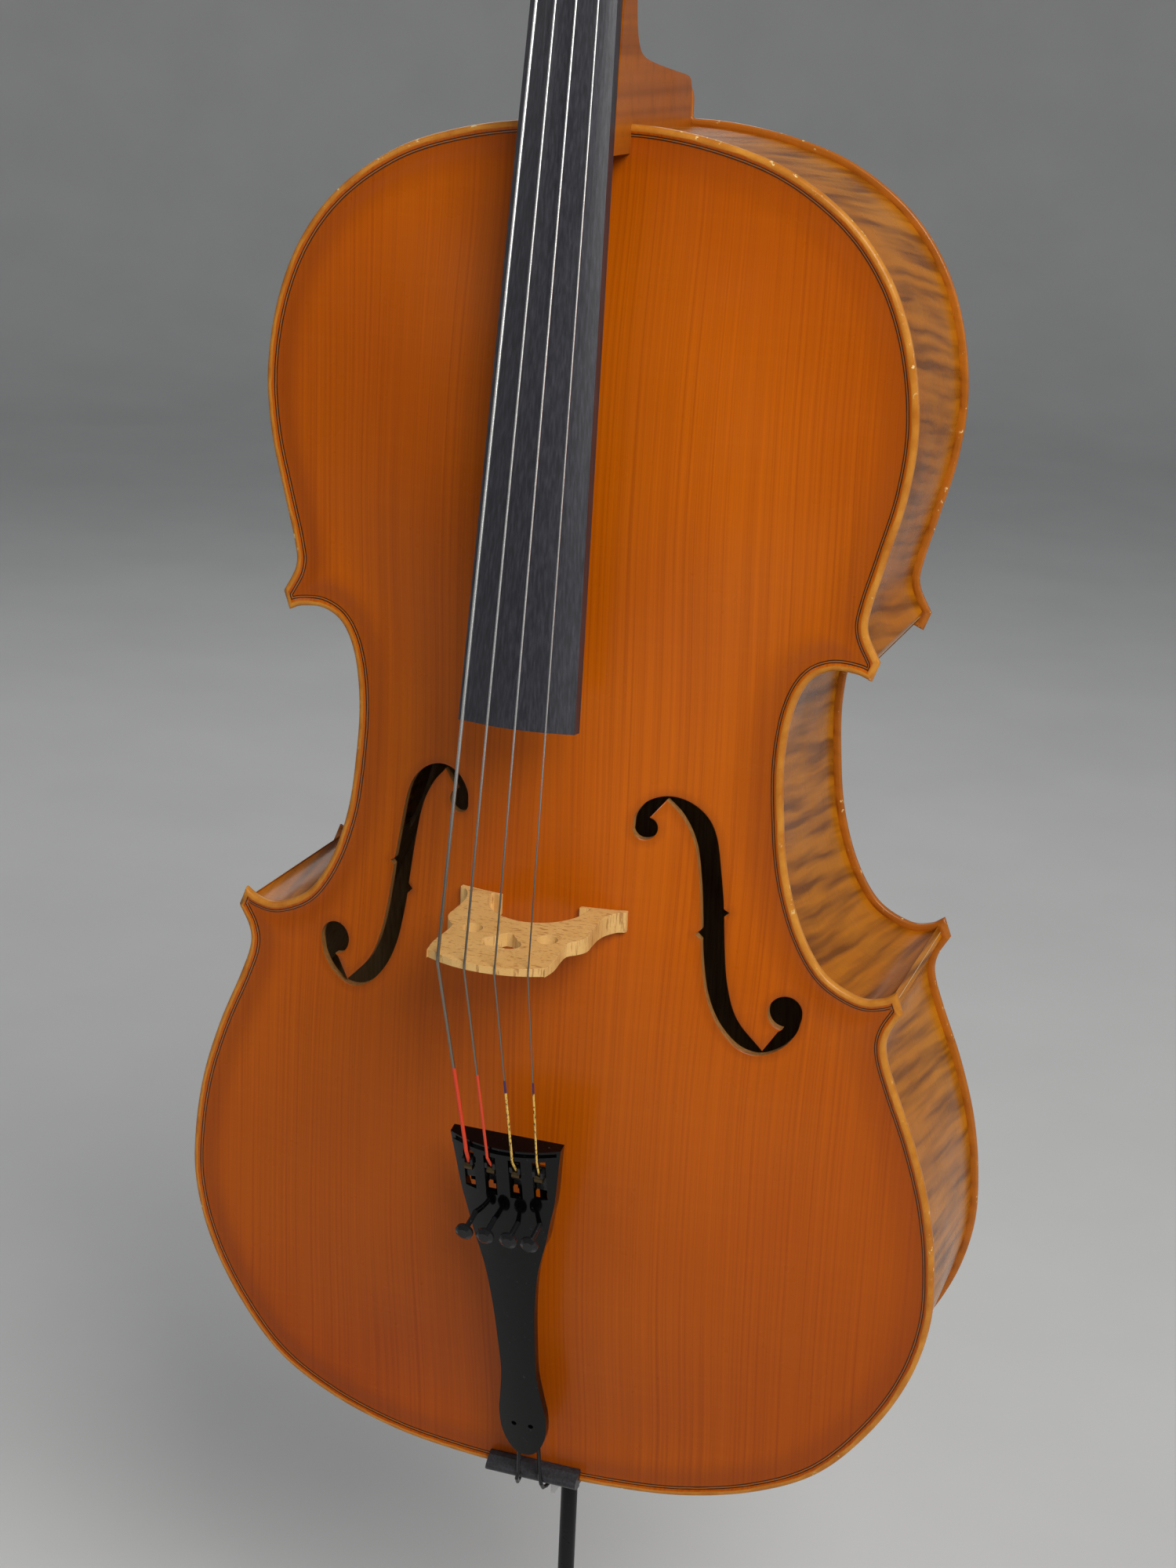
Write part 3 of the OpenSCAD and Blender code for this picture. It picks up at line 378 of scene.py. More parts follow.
def spruce_top():
    """straight spruce grain under orange varnish, with a worn edge bead and small dings"""
    m = Mat("varnished_spruce", Coat_Weight=0.14, Coat_Roughness=0.14, Coat_IOR=1.4, Specular_IOR_Level=0.14)
    p = m.at()
    x, z = m.split(p, "X"), m.split(p, "Z")
    half = m.math("ABSOLUTE", x)
    drift = m.noise(m.at((6, 1, 2.2)), 1.0, 2)
    gx = m.math("ADD", half, m.math("MULTIPLY", m.math("SUBTRACT", drift, 0.5), 0.016))
    ring = m.noise(m.join(m.math("MULTIPLY", gx, 620.0), 0.0, m.math("MULTIPLY", z, 2.0)), 1.0, 2.5, 0.6)
    ring = m.ramp(ring, (0.36, 0.0), (0.52, 0.35), (0.68, 1.0))
    fine = m.noise(m.join(m.math("MULTIPLY", gx, 2600.0), 0.0, m.math("MULTIPLY", z, 30.0)), 1.0, 2, 0.5)
    cloud = m.noise(m.at((3.0, 3, 2.2), loc=(0.4, 0, 0.7)), 1.0, 3, 0.5)
    silk = m.noise(m.at((16, 16, 240)), 1.0, 3, 0.6)
    col = m.mix(m.ramp(cloud, (0.3, 0.0), (0.7, 1.0)), (0.345, 0.053, 0.0004), (0.560, 0.122, 0.0006))
    col = m.mix(m.math("MULTIPLY", ring, 0.40), col, (0.200, 0.026, 0.001))
    col = m.mix(m.map(fine, 0.4, 0.75, 0, 0.14), col, (0.20, 0.035, 0.002))
    col = m.mix(m.map(silk, 0.5, 0.75, 0, 0.05), col, (0.62, 0.17, 0.01))
    e = m.attr("edge")
    h = m.attr("hole")
    # darker colour from the channel inwards, fading out 9 to 26 mm in from the edge, and darker within 5 mm of
    # the sound hole edges
    chan = m.math("MULTIPLY", m.map(e, 3.2, 6.5, 0, 1, True), m.map(e, 9, 26, 1, 0, True))
    col = m.mix(m.math("MULTIPLY", chan, 0.42), col, (0.215, 0.036, 0.002))
    col = m.mix(m.map(h, 0.0, 5.0, 0.35, 0.0), col, (0.16, 0.028, 0.002))
    # worn edge bead: golden, with pale chips
    wob = m.noise(m.at((60, 60, 60)), 1.0, 4, 0.6)
    wide = m.math("ADD", e, m.map(wob, 0.3, 0.7, -0.55, 0.55))
    bead = m.map(wide, 2.6, 3.5, 1, 0, True)
    gold = m.mix(m.map(wob, 0.35, 0.65), (0.42, 0.140, 0.012), (0.60, 0.26, 0.035))
    col = m.mix(m.math("MULTIPLY", bead, 0.85), col, gold)
    chips = m.noise(m.at((230, 230, 230)), 1.0, 3, 0.65)
    chipped = m.math("MULTIPLY", m.ramp(chips, (0.62, 0), (0.66, 1)), m.map(wide, 1.2, 2.6, 1, 0, True))
    run = m.ramp(m.noise(m.at((22, 22, 22)), 1.0, 2), (0.46, 0), (0.6, 1))
    chipped = m.math("MULTIPLY", chipped, run)
    col = m.mix(chipped, col, (0.78, 0.56, 0.24))
    # small dings on the open surface
    ding = m.node("ShaderNodeTexVoronoi", "Distance", Vector=m.at((30, 30, 18)), Scale=1.0)
    pick = m.noise(m.at((11, 11, 11), loc=(3, 1, 2)), 1.0, 1)
    ding = m.math("MULTIPLY", m.ramp(ding, (0.022, 1), (0.034, 0)), m.ramp(pick, (0.56, 0), (0.58, 1)))
    col = m.mix(m.math("MULTIPLY", ding, 0.8), col, (0.85, 0.45, 0.12))
    m.set("Base Color", col)
    rough = m.map(m.noise(m.at((26, 26, 26)), 1.0, 4, 0.6), 0.3, 0.7, 0.24, 0.40)
    m.set("Roughness", m.mix(chipped, rough, (0.6, 0.6, 0.6)))
    n = m.bump(ring, 0.10, 0.00012)
    n = m.bump(m.noise(m.at((95, 95, 95)), 1.0, 3), 0.05, 0.0006, n)
    n = m.bump(m.math("MULTIPLY", m.math("ADD", chipped, ding), -1.0), 0.35, 0.0004, n)
    m.set("Normal", n)
    return m.m


def maple(name, light, dark, period, slant, coat, rough=(0.2, 0.34), vec=None, flame=0.75,
          edge=False, fold=False):
    """flamed maple under varnish; stripes run across the grain direction"""
    deep = (0.14, 0.035, 0.006)
    m = Mat(name, Coat_Weight=coat, Coat_Roughness=0.12, Coat_IOR=1.4, Specular_IOR_Level=0.12)
    src = m.attr(vec, "Vector") if vec else m.node("ShaderNodeTexCoord", "Object")
    s = [m.split(src, a) for a in "XYZ"]
    g, c = (s[0], s[1]) if vec else (s[2], s[0])
    if fold:
        c = m.math("ABSOLUTE", c)
    tilt = m.math("ADD", g, m.math("MULTIPLY", c, math.tan(math.radians(slant))))
    sway = m.noise(m.join(m.math("MULTIPLY", g, 9.0), m.math("MULTIPLY", c, 16.0), 0.0), 1.0, 2, 0.5)
    t = m.math("ADD", tilt, m.math("MULTIPLY", m.math("SUBTRACT", sway, 0.5), 0.007))
    stripes = m.math("MULTIPLY", t, 1.0 / period)
    wave = m.noise(m.join(stripes, m.math("MULTIPLY", c, 9.0), s[2] if vec else s[1]), 1.0, 2.2, 0.5)
    band = m.ramp(wave, (0.34, 1.0), (0.47, 0.45), (0.60, 0.0))
    fine = m.noise(m.join(m.math("MULTIPLY", g, 60.0), m.math("MULTIPLY", c, 1500.0), 0.0), 1.0, 2, 0.6)
    cloud = m.noise(m.join(m.math("MULTIPLY", g, 5.0), m.math("MULTIPLY", c, 9.0), 0.3), 1.0, 2)
    col = m.mix(m.map(cloud, 0.3, 0.7), light, tuple(a * b for a, b in zip(light, (0.80, 0.66, 0.5))))
    col = m.mix(m.math("MULTIPLY", band, flame), col, dark)
    col = m.mix(m.map(fine, 0.52, 0.75, 0, 0.35), col, deep)
    if edge:
        e = m.attr("edge")
        chan = m.math("MULTIPLY", m.map(e, 3.2, 6.5, 0, 1, True), m.map(e, 9, 26, 1, 0, True))
        col = m.mix(m.math("MULTIPLY", chan, 0.45), col, deep)
        wob = m.noise(m.at((60, 60, 60)), 1.0, 4, 0.6)
        wide = m.math("ADD", e, m.map(wob, 0.3, 0.7, -0.5, 0.5))
        col = m.mix(m.math("MULTIPLY", m.map(wide, 2.2, 3.4, 1, 0, True), 0.55), col, (0.42, 0.135, 0.016))
        spots = m.ramp(m.noise(m.at((230, 230, 230)), 1.0, 3, 0.65), (0.64, 0), (0.68, 1))
        chips = m.math("MULTIPLY", spots, m.map(wide, 1.2, 2.6, 1, 0, True))
        col = m.mix(chips, col, (0.72, 0.48, 0.2))
    m.set("Base Color", col)
    m.set("Roughness", m.map(m.noise(m.at((30, 30, 30)), 1.0, 4, 0.6), 0.3, 0.7, *rough))
    n = m.bump(band, 0.08, 0.0003)
    n = m.bump(m.noise(m.at((90, 90, 90)), 1.0, 3), 0.05, 0.0006, n)
    m.set("Normal", n)
    return m.m


def raw_wood(name, light, dark, grain=(700, 700, 20)):
    """bare wood, grain along Z"""
    m = Mat(name, Roughness=0.62)
    g = m.noise(m.at(grain), 1.0, 3, 0.6)
    c = m.noise(m.at((14, 14, 14)), 1.0, 2)
    col = m.mix(m.map(g, 0.35, 0.68), light, dark)
    m.set("Base Color", m.mix(m.map(c, 0.3, 0.7, 0, 0.3), col, dark))
    m.set("Normal", m.bump(g, 0.12, 0.0002))
    return m.m


def ebony(name, tone=(0.012, 0.012, 0.014), rough=(0.30, 0.46), coat=0.0):
    """near-black wood with a fine grain along Z"""
    m = Mat(name, Coat_Weight=coat, Coat_Roughness=0.2)
    g = m.noise(m.at((900, 900, 16)), 1.0, 3, 0.65)
    col = m.mix(m.map(g, 0.4, 0.75), tone, tuple(a * 2.6 + 0.004 for a in tone))
    m.set("Base Color", col)
    m.set("Roughness", m.map(m.noise(m.at((40, 40, 12)), 1.0, 4, 0.6), 0.3, 0.7, *rough))
    m.set("Normal", m.bump(g, 0.10, 0.00015))
    return m.m


def metal(name, tone, rough=(0.25, 0.4), scale=(300, 300, 300), bump=0.05):
    """bare metal with a faint mottle"""
    m = Mat(name, Metallic=1.0)
    g = m.noise(m.at(scale), 1.0, 3, 0.6)
    m.set("Base Color", m.mix(m.map(g, 0.3, 0.7), tone, tuple(a * 0.8 for a in tone)))
    m.set("Roughness", m.map(m.noise(m.at((70, 70, 70)), 1.0, 3), 0.3, 0.7, *rough))
    m.set("Normal", m.bump(g, bump, 0.0002))
    return m.m


def glossy_black(name, tone, rough, coat=0.4):
    """black gloss with dust specks"""
    m = Mat(name, Coat_Weight=coat, Coat_Roughness=0.05, Coat_IOR=1.4, Specular_IOR_Level=0.14)
    dust = m.noise(m.at((420, 420, 420)), 1.0, 3, 0.7)
    m.set("Base Color", m.mix(m.ramp(dust, (0.66, 0), (0.74, 0.35)), tone, (0.09, 0.09, 0.095)))
    m.set("Roughness", m.map(m.noise(m.at((45, 45, 45)), 1.0, 4), 0.3, 0.7, *rough))
    m.set("Normal", m.bump(m.noise(m.at((60, 60, 60)), 1.0, 2), 0.03, 0.0006))
    return m.m


def inlay():
    """dark, pale and dark strips across the purfling"""
    m = Mat("purfling_inlay", Coat_Weight=0.2, Coat_Roughness=0.16, Roughness=0.34, Specular_IOR_Level=0.22)
    a = m.attr("across")
    wob = m.map(m.noise(m.at((120, 120, 120)), 1.0, 2), 0.3, 0.7, -0.06, 0.06)
    a = m.math("ADD", a, wob)
    line = m.ramp(a, (0.0, 1), (0.30, 1), (0.35, 0), (0.65, 0), (0.70, 1), (1.0, 1))
    mid = m.mix(m.noise(m.at((300, 300, 300)), 1.0, 2), (0.30, 0.075, 0.004), (0.40, 0.11, 0.008))
    m.set("Base Color", m.mix(line, mid, (0.035, 0.013, 0.005)))
    return m.m


def bridge_maple():
    """plain maple with dark medullary flecks"""
    m = Mat("bridge_maple", Roughness=0.5, Coat_Weight=0.08, Coat_Roughness=0.3, Specular_IOR_Level=0.35)
    cloud = m.noise(m.at((40, 40, 40)), 1.0, 3)
    col = m.mix(m.map(cloud, 0.3, 0.7), (0.66, 0.375, 0.115), (0.74, 0.46, 0.165))
    # medullary flecks: short dark dashes lying along x on the front and back faces
    fleck = m.noise(m.at((230, 720, 60), rot=(0, 0, 4)), 1.0, 3, 0.65, 0.4)
    fleck = m.ramp(fleck, (0.56, 0.0), (0.63, 1.0))
    col = m.mix(m.math("MULTIPLY", fleck, 0.72), col, (0.34, 0.135, 0.030))
    fine = m.noise(m.at((900, 900, 2400)), 1.0, 2, 0.6)
    col = m.mix(m.map(fine, 0.5, 0.72, 0, 0.25), col, (0.42, 0.20, 0.06))
    m.set("Base Color", col)
    m.set("Normal", m.bump(m.math("MULTIPLY", fleck, -1.0), 0.25, 0.0002))
    return m.m


def string_look(name, silk, silk_z, over=None, over_z=None, specks=None):
    """wound metal above, silk whipping below a height, in a second colour above over_z; the metal has painted
    shade low down and a painted highlight over the fingerboard
    """
    # dark brownish grey of the metal low down: painted shade on the lower strings
    steel = (0.26, 0.235, 0.19)
    m = Mat(name, Specular_IOR_Level=0.5)
    z = m.split(m.at(), "Z")
    wrap = m.noise(m.at((1500, 1500, 5200)), 1.0, 2, 0.6)
    # the metal colour runs from that dark grey up to near white between 0.70 m and 0.84 m high: painted shade
    # below, painted highlight over the fingerboard
    steel_painted_shine = m.mix(m.map(z, 0.70, 0.84, 0, 1, True), steel, (0.93, 0.93, 0.91))
    metal_col = m.mix(m.map(wrap, 0.35, 0.65, 0.0, 0.35), steel_painted_shine, (0.12, 0.11, 0.10))
    thread = m.math("SINE", m.math("MULTIPLY", z, 9000.0))
    silk_col = m.mix(m.map(thread, -1, 1, 0, 0.5), silk, tuple(k * 0.55 for k in silk))
    if specks:
        s = m.noise(m.at((900, 900, 420), rot=(18, 12, 0)), 1.0, 2, 0.6)
        silk_col = m.mix(m.ramp(s, (0.54, 0), (0.58, 1)), silk_col, specks)
    if over:
        silk_col = m.mix(m.math("GREATER_THAN", z, over_z), silk_col, over)
    k = m.math("LESS_THAN", z, silk_z)
    m.set("Base Color", m.mix(k, metal_col, silk_col))
    m.set("Metallic", m.math("SUBTRACT", 1.0, k))
    m.set("Roughness", m.map(k, 0, 1, 0.34, 0.7))
    m.set("Normal", m.bump(m.math("ADD", wrap, thread), 0.12, 0.0001))
    return m.m


M_TOP = spruce_top()
M_RAW = raw_wood("bare_spruce", (0.62, 0.42, 0.20), (0.40, 0.22, 0.08))
M_CUT = raw_wood("cut_spruce_edge", (0.34, 0.15, 0.035), (0.20, 0.075, 0.015))
M_BACK = maple("varnished_maple_back", (0.44, 0.125, 0.006), (0.19, 0.038, 0.002), 0.010, 14, 0.3,
               edge=True, fold=True)
M_RIB = maple("varnished_maple_rib", (0.53, 0.190, 0.006), (0.15, 0.042, 0.003), 0.0075, -9, 0.10,
              vec="flow", flame=0.9)
M_NECK = maple("stained_maple_neck", (0.44, 0.125, 0.008), (0.20, 0.048, 0.004), 0.009, 8, 0.15, (0.28, 0.42))
M_INLAY = inlay()
M_EBONY = ebony("satin_ebony")
# the slight blue in the fingerboard tone is painted reflection of a cool sky
M_BOARD = ebony("fingerboard_ebony", (0.015, 0.0148, 0.020), (0.36, 0.50), coat=0.12)
M_STAIN = ebony("black_stained_wood", (0.010, 0.009, 0.009), (0.22, 0.36), coat=0.3)
M_BLACK = glossy_black("black_composite", (0.0015, 0.0015, 0.0018), (0.06, 0.13), 0.25)
M_LACQ = glossy_black("black_lacquered_metal", (0.010, 0.010, 0.011), (0.12, 0.26))
M_WILLOW = raw_wood("bare_willow", (0.66, 0.47, 0.27), (0.50, 0.32, 0.15), (500, 500, 30))
M_STEEL = metal("wound_steel", (0.62, 0.61, 0.58), (0.26, 0.40), (2600, 2600, 2600), bump=0.15)
M_BRIDGE = bridge_maple()
SILK_START = (0.045, 0.018, 0.09)       # purple start of the yellow silk
STRING = {"c": string_look("string_low_c", (0.78, 0.055, 0.012), 0.616),
          "g": string_look("string_g", (0.74, 0.060, 0.015), 0.616),
          "d": string_look("string_d", (0.86, 0.54, 0.10), 0.6155, SILK_START, 0.6075, (0.16, 0.07, 0.02)),
          "a": string_look("string_top_a", (0.88, 0.56, 0.11), 0.6155, SILK_START, 0.6085, (0.14, 0.06, 0.02))}
M_PIN = metal("ground_steel", (0.56, 0.56, 0.57))
# the ball ends' brass is made very dark: partly aged brass, partly painted shade of the tailpiece slots they
# sit in
M_BRASS_SHADED = metal("aged_brass_painted_shade", (0.11, 0.075, 0.035), (0.35, 0.5))
M_ANOD = glossy_black("black_anodised_steel", (0.012, 0.012, 0.013), (0.24, 0.38), 0.0)


# ---------------------------------------------------------------- plates
BUTTON_R, BUTTON_Z = 14, 764                # round end of the button above the back
BUTTON_TOP = BUTTON_Z + BUTTON_R
# rows of points this far in from the edge, and out from a sound hole
EDGE_ROWS = (0.22, 0.6, 1.15, 1.8, 2.5, 3.4, 4.4, 5.2, 6.0, 7.0, 8.2, 10.2, 12.4)
HOLE_ROWS = (0.35, 1.1, 2.4)
GRID = 3.4                                  # spacing of the points between them
INNER_R = 1.3                               # rounding of the inside edge
FLAT_IN = 14                                # the inside is flat this near the edge


def surface_h(x, z, d, rise):
    return edge_h(d) + belly(x, z, rise)


def button_half(half):
    """the half outline with the button in place of its top"""
    loop = mirror_loop(half)
    treble = loop[(np.arange(len(loop)) < len(half)) & ((np.abs(loop[:, 0]) > 14.2) | (loop[:, 1] < 400))]
    tab = np.concatenate([[[0, BUTTON_TOP]], arc((0, BUTTON_Z), BUTTON_R, 84, 0, 14),
                          [[14, 761], [14, 758], [14.2, 755.6]]])
    return np.concatenate([tab, treble])


def plate(name, rise, in_rise, side, mats, node, holes, button):
    """one plate with its arching, edge and sound holes; gives back its outline"""
    half = np.concatenate([up, wa, lo])
    if button:
        half = button_half(half)
    loop = mirror_loop(half)
    t = np.roll(loop, -1, 0) - np.roll(loop, 1, 0)
    t /= np.linalg.norm(t, axis=1)[:, None]
    nrm = np.stack([t[:, 1], -t[:, 0]], 1)
    hl = [HOLE, HOLE * [-1, 1]] if holes else []
    pts = [loop]
    for d in EDGE_ROWS:
        c = loop + d * nrm
        c = c[inside(c, loop)]
        pts.append(c[dist(c, loop) > d - 0.04])
    for h in hl:
        th = np.roll(h, -1, 0) - np.roll(h, 1, 0)
        th /= np.maximum(1e-9, np.linalg.norm(th, axis=1))[:, None]
        nh = np.stack([-th[:, 1], th[:, 0]], 1)
        for d in HOLE_ROWS:
            for sgn in (1, -1):
                c = h + sgn * d * nh
                c = c[~inside(c, h)]
                pts.append(c[dist(c, h) > d - 0.04])
    gx, gz = np.meshgrid(np.arange(-232, 233, GRID), np.arange(0, 780, GRID * 0.87))
    gx = gx + (np.arange(gx.shape[0]) % 2)[:, None] * GRID / 2
    g = np.stack([gx.ravel(), gz.ravel()], 1)
    g = g[inside(g, loop)]
    g = g[dist(g, loop) > 13.8]
    for h in hl:
        near = (g[:, 1] > 270) & (g[:, 1] < 440)
        bad = np.zeros(len(g), bool)
        bad[near] = inside(g[near], h) | (dist(g[near], h) < 3.6)
        g = g[~bad]
    pts.append(g)
    hole_at, at = [], sum(len(p) for p in pts)
    for h in hl:
        hole_at.append((at, len(h)))
        pts.append(h)
        at += len(h)
    p2 = np.concatenate(pts)
    edges = [(i, (i + 1) % len(loop)) for i in range(len(loop))]
    for a, n in hole_at:
        edges += [(a + i, a + (i + 1) % n) for i in range(n)]
    plan = [Vector((float(a), float(b))) for a, b in p2]
    ov, _, of = delaunay_2d_cdt(plan, edges, [], 0, 1e-4, False)[:3]
    v2 = np.array([(q[0], q[1]) for q in ov])
    tri = np.array([f for f in of if len(f) == 3])
    mid = v2[tri].mean(1)
    keep = inside(mid, loop)
    for h in hl:
        keep &= ~inside(mid, h)
    tri = tri[keep]
    a, b, c = v2[tri[:, 0]], v2[tri[:, 1]], v2[tri[:, 2]]
    area = (b[:, 0] - a[:, 0]) * (c[:, 1] - a[:, 1]) - (b[:, 1] - a[:, 1]) * (c[:, 0] - a[:, 0])
    tri[area < 0] = tri[area < 0][:, ::-1]
    tri = tri[np.abs(area) > 1e-5]
    d = dist(v2, loop)
    dh = np.full(len(v2), 30.0)
    for h in hl:
        near = (v2[:, 1] > 260) & (v2[:, 1] < 450)
        dh[near] = np.minimum(dh[near], dist(v2[near], h))
    x, z = v2[:, 0], v2[:, 1]
    ho = surface_h(x, z, d, rise) - 0.3 * (1 - smooth01(0, 0.5, dh))
    k = np.clip(INNER_R - d, 0, INNER_R)
    rounded = INNER_R - np.sqrt(np.maximum(0, INNER_R ** 2 - k * k))
    hi = np.where(d < FLAT_IN, rounded, belly(x, z, in_rise))
    if button:
        up_tab = smooth01(744, 756, z) * (np.abs(x) < 20)
        ho = ho + up_tab * (edge_h(np.minimum(d, 2.4)) - edge_h(d))
    outer = np.stack([x, side * (FACE + ho), z], 1)
    inner = np.stack([x, side * (HALF + hi), z], 1)
    n = len(v2)
    used = {(f[i], f[(i + 1) % 3]): 1 for f in tri for i in range(3)}
    walls, wmat = [], []
    for (i, j) in used:
        if (j, i) not in used:
            walls.append((j, i, i + n, j + n) if side < 0 else (i, j, j + n, i + n))
            wmat.append(2 if dh[i] < 0.01 and d[i] > 1 else 0)
    f_out = tri if side < 0 else tri[:, ::-1]
    f_in = tri[:, ::-1] if side < 0 else tri
    faces = [tuple(f) for f in f_out] + [tuple(f + n) for f in f_in] + walls
    fm = [0] * len(f_out) + [0 if q < 7 else 1 for q in d[tri].max(1)] + wmat
    make(name, np.concatenate([outer, inner]), faces, "cello", mats, [node], sharp=50, face_mat=fm,
         attrs={"edge": np.tile(np.minimum(d, 80), 2), "hole": np.tile(dh, 2)})
    return loop


TOP_LOOP = plate("top", TOP_RISE, TOP_RISE_IN, -1, [M_TOP, M_RAW, M_CUT], "top_plate",
                 True, False)
plate("back", BACK_RISE, BACK_RISE_IN, 1, [M_BACK, M_RAW, M_RAW], "back_plate", False, True)


# corner tips: middle of the end edge and the outward direction
TIPS = [((up[-1] + wa[0]) / 2, np.array([0.943, -0.333])),
        ((wa[-1] + lo[0]) / 2, np.array([0.930, 0.367]))]
TIP_REACH = 28


def behind_tips(q, back):
    """pulls points near a corner tip back to a line behind it"""
    q = q.copy()
    for hand in (1, -1):
        for tip, away in TIPS:
            t, w = tip * [hand, 1], away * [hand, 1]
            over = (q - t) @ w + back
            near = (np.linalg.norm(q - t, axis=1) < TIP_REACH) & (over > 0)
            q[near] -= over[near][:, None] * w
    return q


def purfling(name, side, rise, node):
    """the inlaid strip, mitred at the corners"""
    c = mirror_loop(half_ring(INLAY_IN))
    a = c - np.roll(c, 1, 0)
    b = np.roll(c, -1, 0) - c
    a /= np.maximum(1e-9, np.linalg.norm(a, axis=1))[:, None]
    b /= np.maximum(1e-9, np.linalg.norm(b, axis=1))[:, None]
    m = a + b
    m /= np.maximum(1e-9, np.linalg.norm(m, axis=1))[:, None]
    nr = np.stack([m[:, 1], -m[:, 0]], 1)
    k = np.clip(np.abs(nr[:, 0] * b[:, 1] - nr[:, 1] * b[:, 0]), 0.28, 1)
    rows = []
    for w, dy in ((-INLAY_HALF, INLAY_UNDER), (-INLAY_HALF, INLAY_TOP), (0.0, INLAY_CROWN),
                  (INLAY_HALF, INLAY_TOP), (INLAY_HALF, INLAY_UNDER)):
        q = behind_tips(c + nr * (w / k)[:, None], INLAY_IN - INLAY_HALF + w)
        h = surface_h(q[:, 0], q[:, 1], dist(q, TOP_LOOP), rise)
        rows.append(np.stack([q[:, 0], side * (FACE + h + dy), q[:, 1]], 1))
    v, f = loft([np.array([r[i] for r in rows]) for i in range(len(c))], ring=True)
    if side > 0:
        f = [q[::-1] for q in f]
    across = np.tile([0.0, 0.0, 0.5, 1.0, 1.0], len(c))
    make(name, v, f, "cello", M_INLAY, [node], sharp=40, attrs={"across": across})


purfling("top_inlay", -1, TOP_RISE, "top_purfling")
purfling("back_inlay", 1, BACK_RISE, "back_purfling")


# ---------------------------------------------------------------- ribs
def bouts(d):
    """the three outline curves d inside the edge, trimmed where they meet at the corners"""
    a, b, c = offsets(d)
    i1, j1, p1 = meet(a, b)
    i2, j2, p2 = meet(b, c)
    return [np.concatenate([a[:i1 + 1], [p1]]), np.concatenate([[p1], b[j1 + 1:i2 + 1], [p2]]),
            np.concatenate([[p2], c[j2 + 1:]])]


def rib(name, k, side):
    """one bent rib; flow runs along it and across it, so that the flame follows the bend"""
    outer, inner = bouts(OVERHANG)[k], bouts(OVERHANG + RIB_T)[k]
    s = np.concatenate([[0], np.cumsum(np.linalg.norm(np.diff(outer, axis=0), axis=1))])
    poly = np.concatenate([outer, inner[::-1]])
    arcl = np.concatenate([s, [s[np.argmin(np.linalg.norm(outer - q, axis=1))] for q in inner[::-1]]])
    poly = behind_tips(poly, OVERHANG + 0.6)
    poly[:, 0] *= side
    ys = np.linspace(-HALF, HALF, 7)
    v, f = loft([np.stack([poly[:, 0], np.full(len(poly), y), poly[:, 1]], 1) for y in ys])
    if side > 0:
        f = [q[::-1] for q in f]
    start = 0.37 * k + (0.2 if side < 0 else 0)     # a different stretch of the pattern on each rib
    flow = np.concatenate([np.stack([arcl * 0.001 + start, np.full(len(poly), y * 0.001),
                                     np.zeros(len(poly))], 1) for y in ys])
    make(name, v, f, "cello", M_RIB, [name.replace("side", "rib")], sharp=35,
         attrs={"flow": flow})


for k, word in enumerate(("upper", "waist", "lower")):
    for side, hand in ((-1, "bass"), (1, "treble")):
        rib(f"side_{word}_{hand}", k, side)


# ---------------------------------------------------------------- looks of the CAD nodes that stay
KEEP = {"top_linings": M_WILLOW, "back_linings": M_WILLOW, "neck_block": M_WILLOW, "end_block": M_WILLOW,
        "corner_blocks": M_WILLOW, "bass_bar": M_RAW, "sound_post": M_RAW, "neck_scroll": M_NECK,
        "fingerboard": M_BOARD, "nut": M_EBONY, "bridge": M_BRIDGE, "tailpiece": M_BLACK, "tuner_pins": M_PIN,
        "tailgut": M_LACQ, "saddle": M_EBONY, "endpin_socket": M_STAIN,
        "endpin_collar": M_PIN, "endpin_rod": M_ANOD,
        "endpin_screw": M_PIN, "endpin_wing": M_PIN, "endpin_tip": M_STAIN}
for c in "cgda":
    KEEP.update({"peg_" + c: M_EBONY, "coil_" + c: M_STEEL, "string_" + c: STRING[c], "lever_" + c: M_LACQ,
                 "screw_" + c: M_LACQ, "knob_" + c: M_LACQ, "ball_" + c: M_BRASS_SHADED})
SOFT = {"bridge": 0.45, "fingerboard": 0.4, "nut": 0.4, "saddle": 0.8}      # rounding of their edges, mm
for n, mat in KEEP.items():
    o = NODES[n]
    if not o.hide_render:
        o.data.materials.clear()
        o.data.materials.append(mat)
    if n in SOFT:
        weld = o.modifiers.new("weld", "WELD")
        weld.merge_threshold = 0.00001
        bevel(o, SOFT[n], 3, 32)


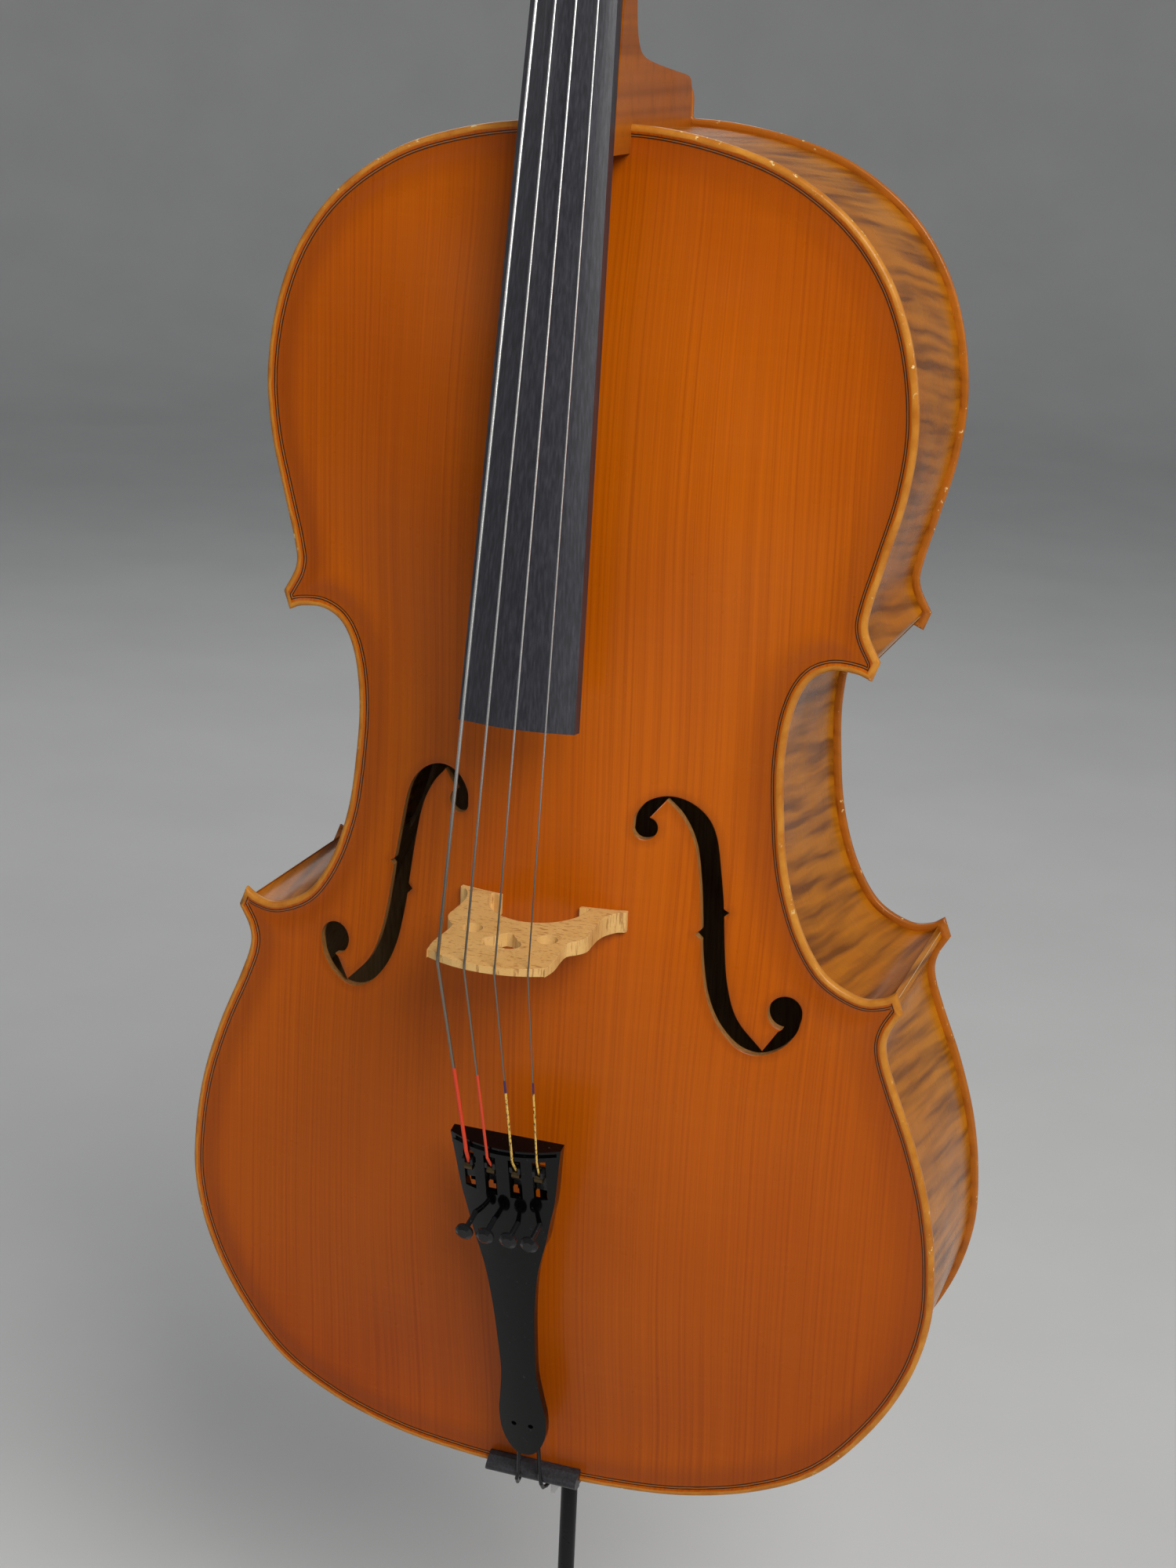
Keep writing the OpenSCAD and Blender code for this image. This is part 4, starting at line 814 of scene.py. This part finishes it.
# ---------------------------------------------------------------- floor, lights, camera
def floor():
    """a round studio floor that curves up into a wall; profile of (radius, height), m"""
    n, flat, bend, wall = 72, 6, 1.8, 5.0
    prof = [(0.02, 0), (1.5, 0), (3, 0), (4.5, 0), (flat, 0)]
    prof += [(flat + bend * sin(k), bend - bend * cos(k)) for k in range(5, 91, 5)]
    prof += [(flat + bend, wall)]
    v = [(r * cos(360 * i / n), r * sin(360 * i / n), h) for r, h in prof for i in range(n)]
    f = [(k * n + i, k * n + (i + 1) % n, (k + 1) * n + (i + 1) % n, (k + 1) * n + i)
         for k in range(len(prof) - 1) for i in range(n)] + [tuple(range(n))]
    me = bpy.data.meshes.new("studio_floor")
    me.from_pydata(v, [], f)
    me.polygons.foreach_set("use_smooth", [True] * len(me.polygons))
    m = Mat("pale_floor", Roughness=0.85)
    g = m.noise(m.at((3, 3, 3)), 1.0, 4)
    m.set("Base Color", m.mix(m.map(g, 0.3, 0.7), (0.64, 0.64, 0.63), (0.68, 0.68, 0.67)))
    me.materials.append(m.m)
    o = bpy.data.objects.new("studio_floor", me)
    bpy.context.scene.collection.objects.link(o)


floor()


def area(name, loc, target, size, power, color=(1, 1, 1)):
    """a soft rectangular light"""
    lamp = bpy.data.lights.new(name, "AREA")
    lamp.shape, lamp.size, lamp.size_y = "RECTANGLE", size[0], size[1]
    lamp.energy, lamp.color = power, color
    o = bpy.data.objects.new(name, lamp)
    o.location = loc
    o.rotation_mode = "QUATERNION"
    o.rotation_quaternion = (Vector(target) - Vector(loc)).to_track_quat("-Z", "Y")
    bpy.context.scene.collection.objects.link(o)


area("key", (1.6, -1.8, 2.6), (0.05, 0, 0.95), (1.5, 1.5), 84, (1.0, 0.985, 0.96))
area("fill", (-2.6, -2.6, 2.6), (0, 0, 0.8), (1.6, 1.6), 14)
area("rim", (-1.4, 2.6, 2.8), (0, 0, 0.8), (2.0, 1.6), 20)
area("side", (3.0, 1.6, 1.7), (0, 0, 0.8), (1.0, 1.6), 12)
world = bpy.data.worlds.new("studio")
world.use_nodes = True
bg = next(n for n in world.node_tree.nodes if n.type == "BACKGROUND")
bg.inputs[0].default_value, bg.inputs[1].default_value = (0.82, 0.85, 0.90, 1), 0.24
bpy.context.scene.world = world
bpy.context.scene.view_settings.view_transform = "Standard"

# camera: where it stands, m, where it looks, and its roll about that line
EYE = Vector((0.4077, -1.2302, 1.1276))
LOOK = Vector((-0.3058, 0.9055, -0.2943)).normalized()
ROLL = 2.495
level = LOOK.cross(Vector((0, 0, 1))).normalized()
right = cos(ROLL) * level + sin(ROLL) * level.cross(LOOK)
over = right.cross(LOOK)
lens = bpy.data.cameras.new("camera")
lens.lens, lens.sensor_width, lens.clip_end = 56.17, 36.0, 60
camera = bpy.data.objects.new("camera", lens)
camera.matrix_world = Matrix(((right.x, over.x, -LOOK.x, EYE.x), (right.y, over.y, -LOOK.y, EYE.y),
                              (right.z, over.z, -LOOK.z, EYE.z), (0, 0, 0, 1)))
bpy.context.scene.collection.objects.link(camera)
bpy.context.scene.camera = camera
